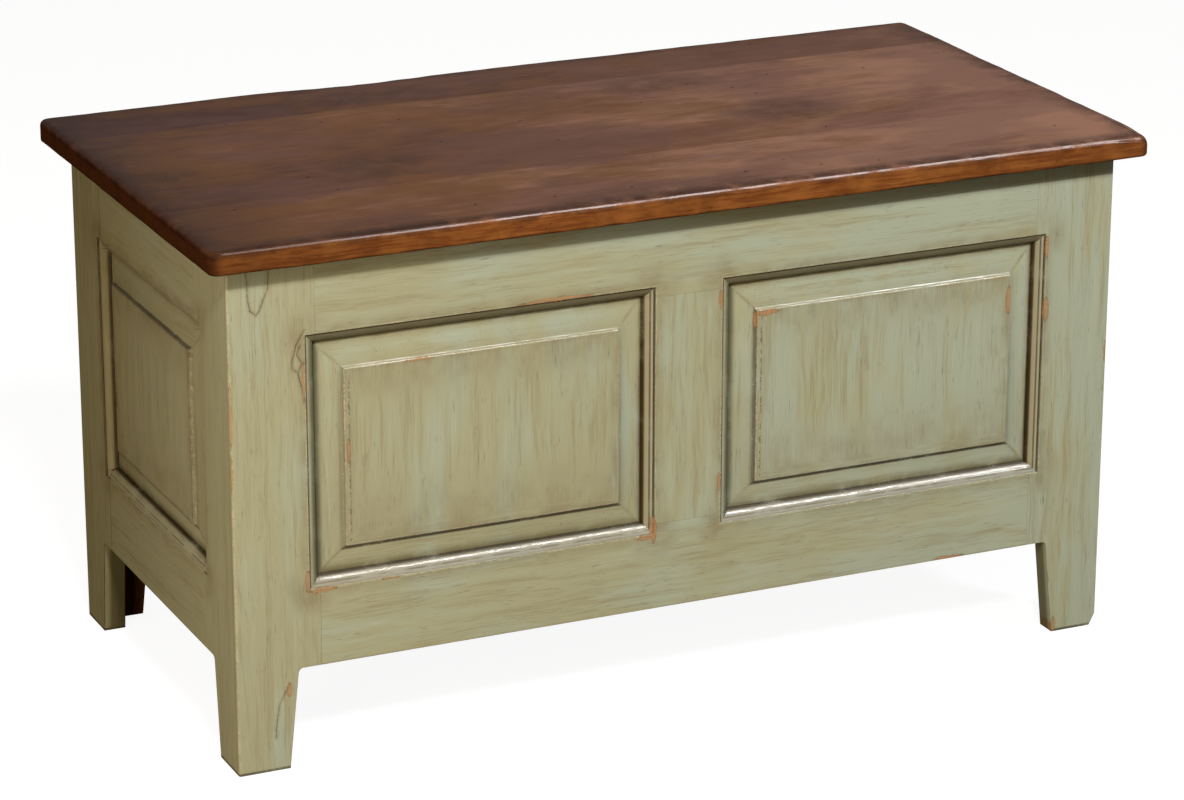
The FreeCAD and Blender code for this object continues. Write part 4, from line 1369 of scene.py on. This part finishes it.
def floor_finish():
    """White to the camera, but still darker where the chest shades it."""
    f = Finish("floor_white")
    plain = f.node("ShaderNodeBsdfDiffuse", sockets={"Color": (0.30, 0.25, 0.17, 1.0)})
    shade = f.node("ShaderNodeBsdfDiffuse", sockets={"Color": (0.20, 0.20, 0.20, 1.0)})
    white = f.node("ShaderNodeEmission", sockets={"Color": (0.92, 0.92, 0.92, 1.0), "Strength": 1.0})
    white = f.node("ShaderNodeAddShader", sockets={0: white, 1: shade})
    mixed = f.node("ShaderNodeMixShader", sockets={0: f.seen(), 1: plain, 2: white})
    f.node("ShaderNodeOutputMaterial", sockets={"Surface": mixed})
    return f.owner


floor_mesh = bpy.data.meshes.new("floor")
floor_corners = [(-1, -1), (1, -1), (1, 1), (-1, 1)]
floor_spots = [(x * FLOOR_HALF, y * FLOOR_HALF, -FLOOR_DROP) for x, y in floor_corners]
floor_mesh.from_pydata(floor_spots, [], [(0, 1, 2, 3)])
floor_mesh.materials.append(floor_finish())
floor = bpy.data.objects.new("floor", floor_mesh)
bpy.context.scene.collection.objects.link(floor)


# %% Light the world
def studio_world():
    """White to the camera and in reflections, and a low warm light on the chest."""
    f = Finish("studio", bpy.data.worlds)
    low = f.node("ShaderNodeBackground", sockets={"Color": (1.0, 0.86, 0.66, 1.0), "Strength": 0.10})
    white = f.node("ShaderNodeBackground", sockets={"Color": (1.0, 1.0, 1.0, 1.0), "Strength": 1.0})
    mixed = f.node("ShaderNodeMixShader", sockets={0: f.seen(), 1: low, 2: white})
    f.node("ShaderNodeOutputWorld", sockets={"Surface": mixed})
    return f.owner


bpy.context.scene.world = studio_world()
print("world", bpy.context.scene.world.name)

# %% [markdown]
# The key lamp stands high at the front left, and a warm lamp low beside it. A
# cool lamp at the right gives that end its bluer tone. The left end is nearly
# in shade, so its own lamp is weak, and so is the one overhead. The last is a
# large panel above the front, which only shows in gloss: it draws the thin
# bright lines on the mouldings and fields, and lights nothing else.

# %% Place the lamps
def area_lamp(name, place, turn, size, watts, colour=(1.0, 1.0, 1.0)):
    """A rectangular soft lamp at a place, turned by degrees about X, Y and Z."""
    data = bpy.data.lights.new(name, "AREA")
    data.shape = "RECTANGLE"
    data.size, data.size_y = size
    data.energy = watts
    data.color = colour
    lamp = bpy.data.objects.new(name, data)
    lamp.location = place
    lamp.rotation_euler = [math.radians(angle) for angle in turn]
    bpy.context.scene.collection.objects.link(lamp)
    return lamp


area_lamp("key_lamp", (-0.95, -2.90, 2.80), (50, 0, -18), (0.40, 0.40), 70)
area_lamp("warm_lamp", (-1.83, -1.60, 0.77), (80, 0, -48), (0.9, 0.9), 19, (1.0, 0.88, 0.70))
area_lamp("cool_lamp", (2.00, -2.20, 2.10), (57, 0, 42), (0.5, 0.5), 50, (0.90, 0.96, 1.0))
area_lamp("side_lamp", (-2.20, -0.90, 0.70), (85, 0, -68), (0.5, 0.5), 6.4, (1.0, 0.88, 0.74))
area_lamp("top_lamp", (0.0, 0.2, 2.4), (0, 0, 0), (1.2, 0.6), 8)
panel_place, panel_turn, panel_size = (0.95, -0.95, 2.20), (10, 0, 0), (1.7, 1.1)
gloss_panel = area_lamp("gloss_panel", panel_place, panel_turn, panel_size, 240, (1.0, 0.95, 0.95))
gloss_panel.visible_diffuse = False
print("lamps placed")
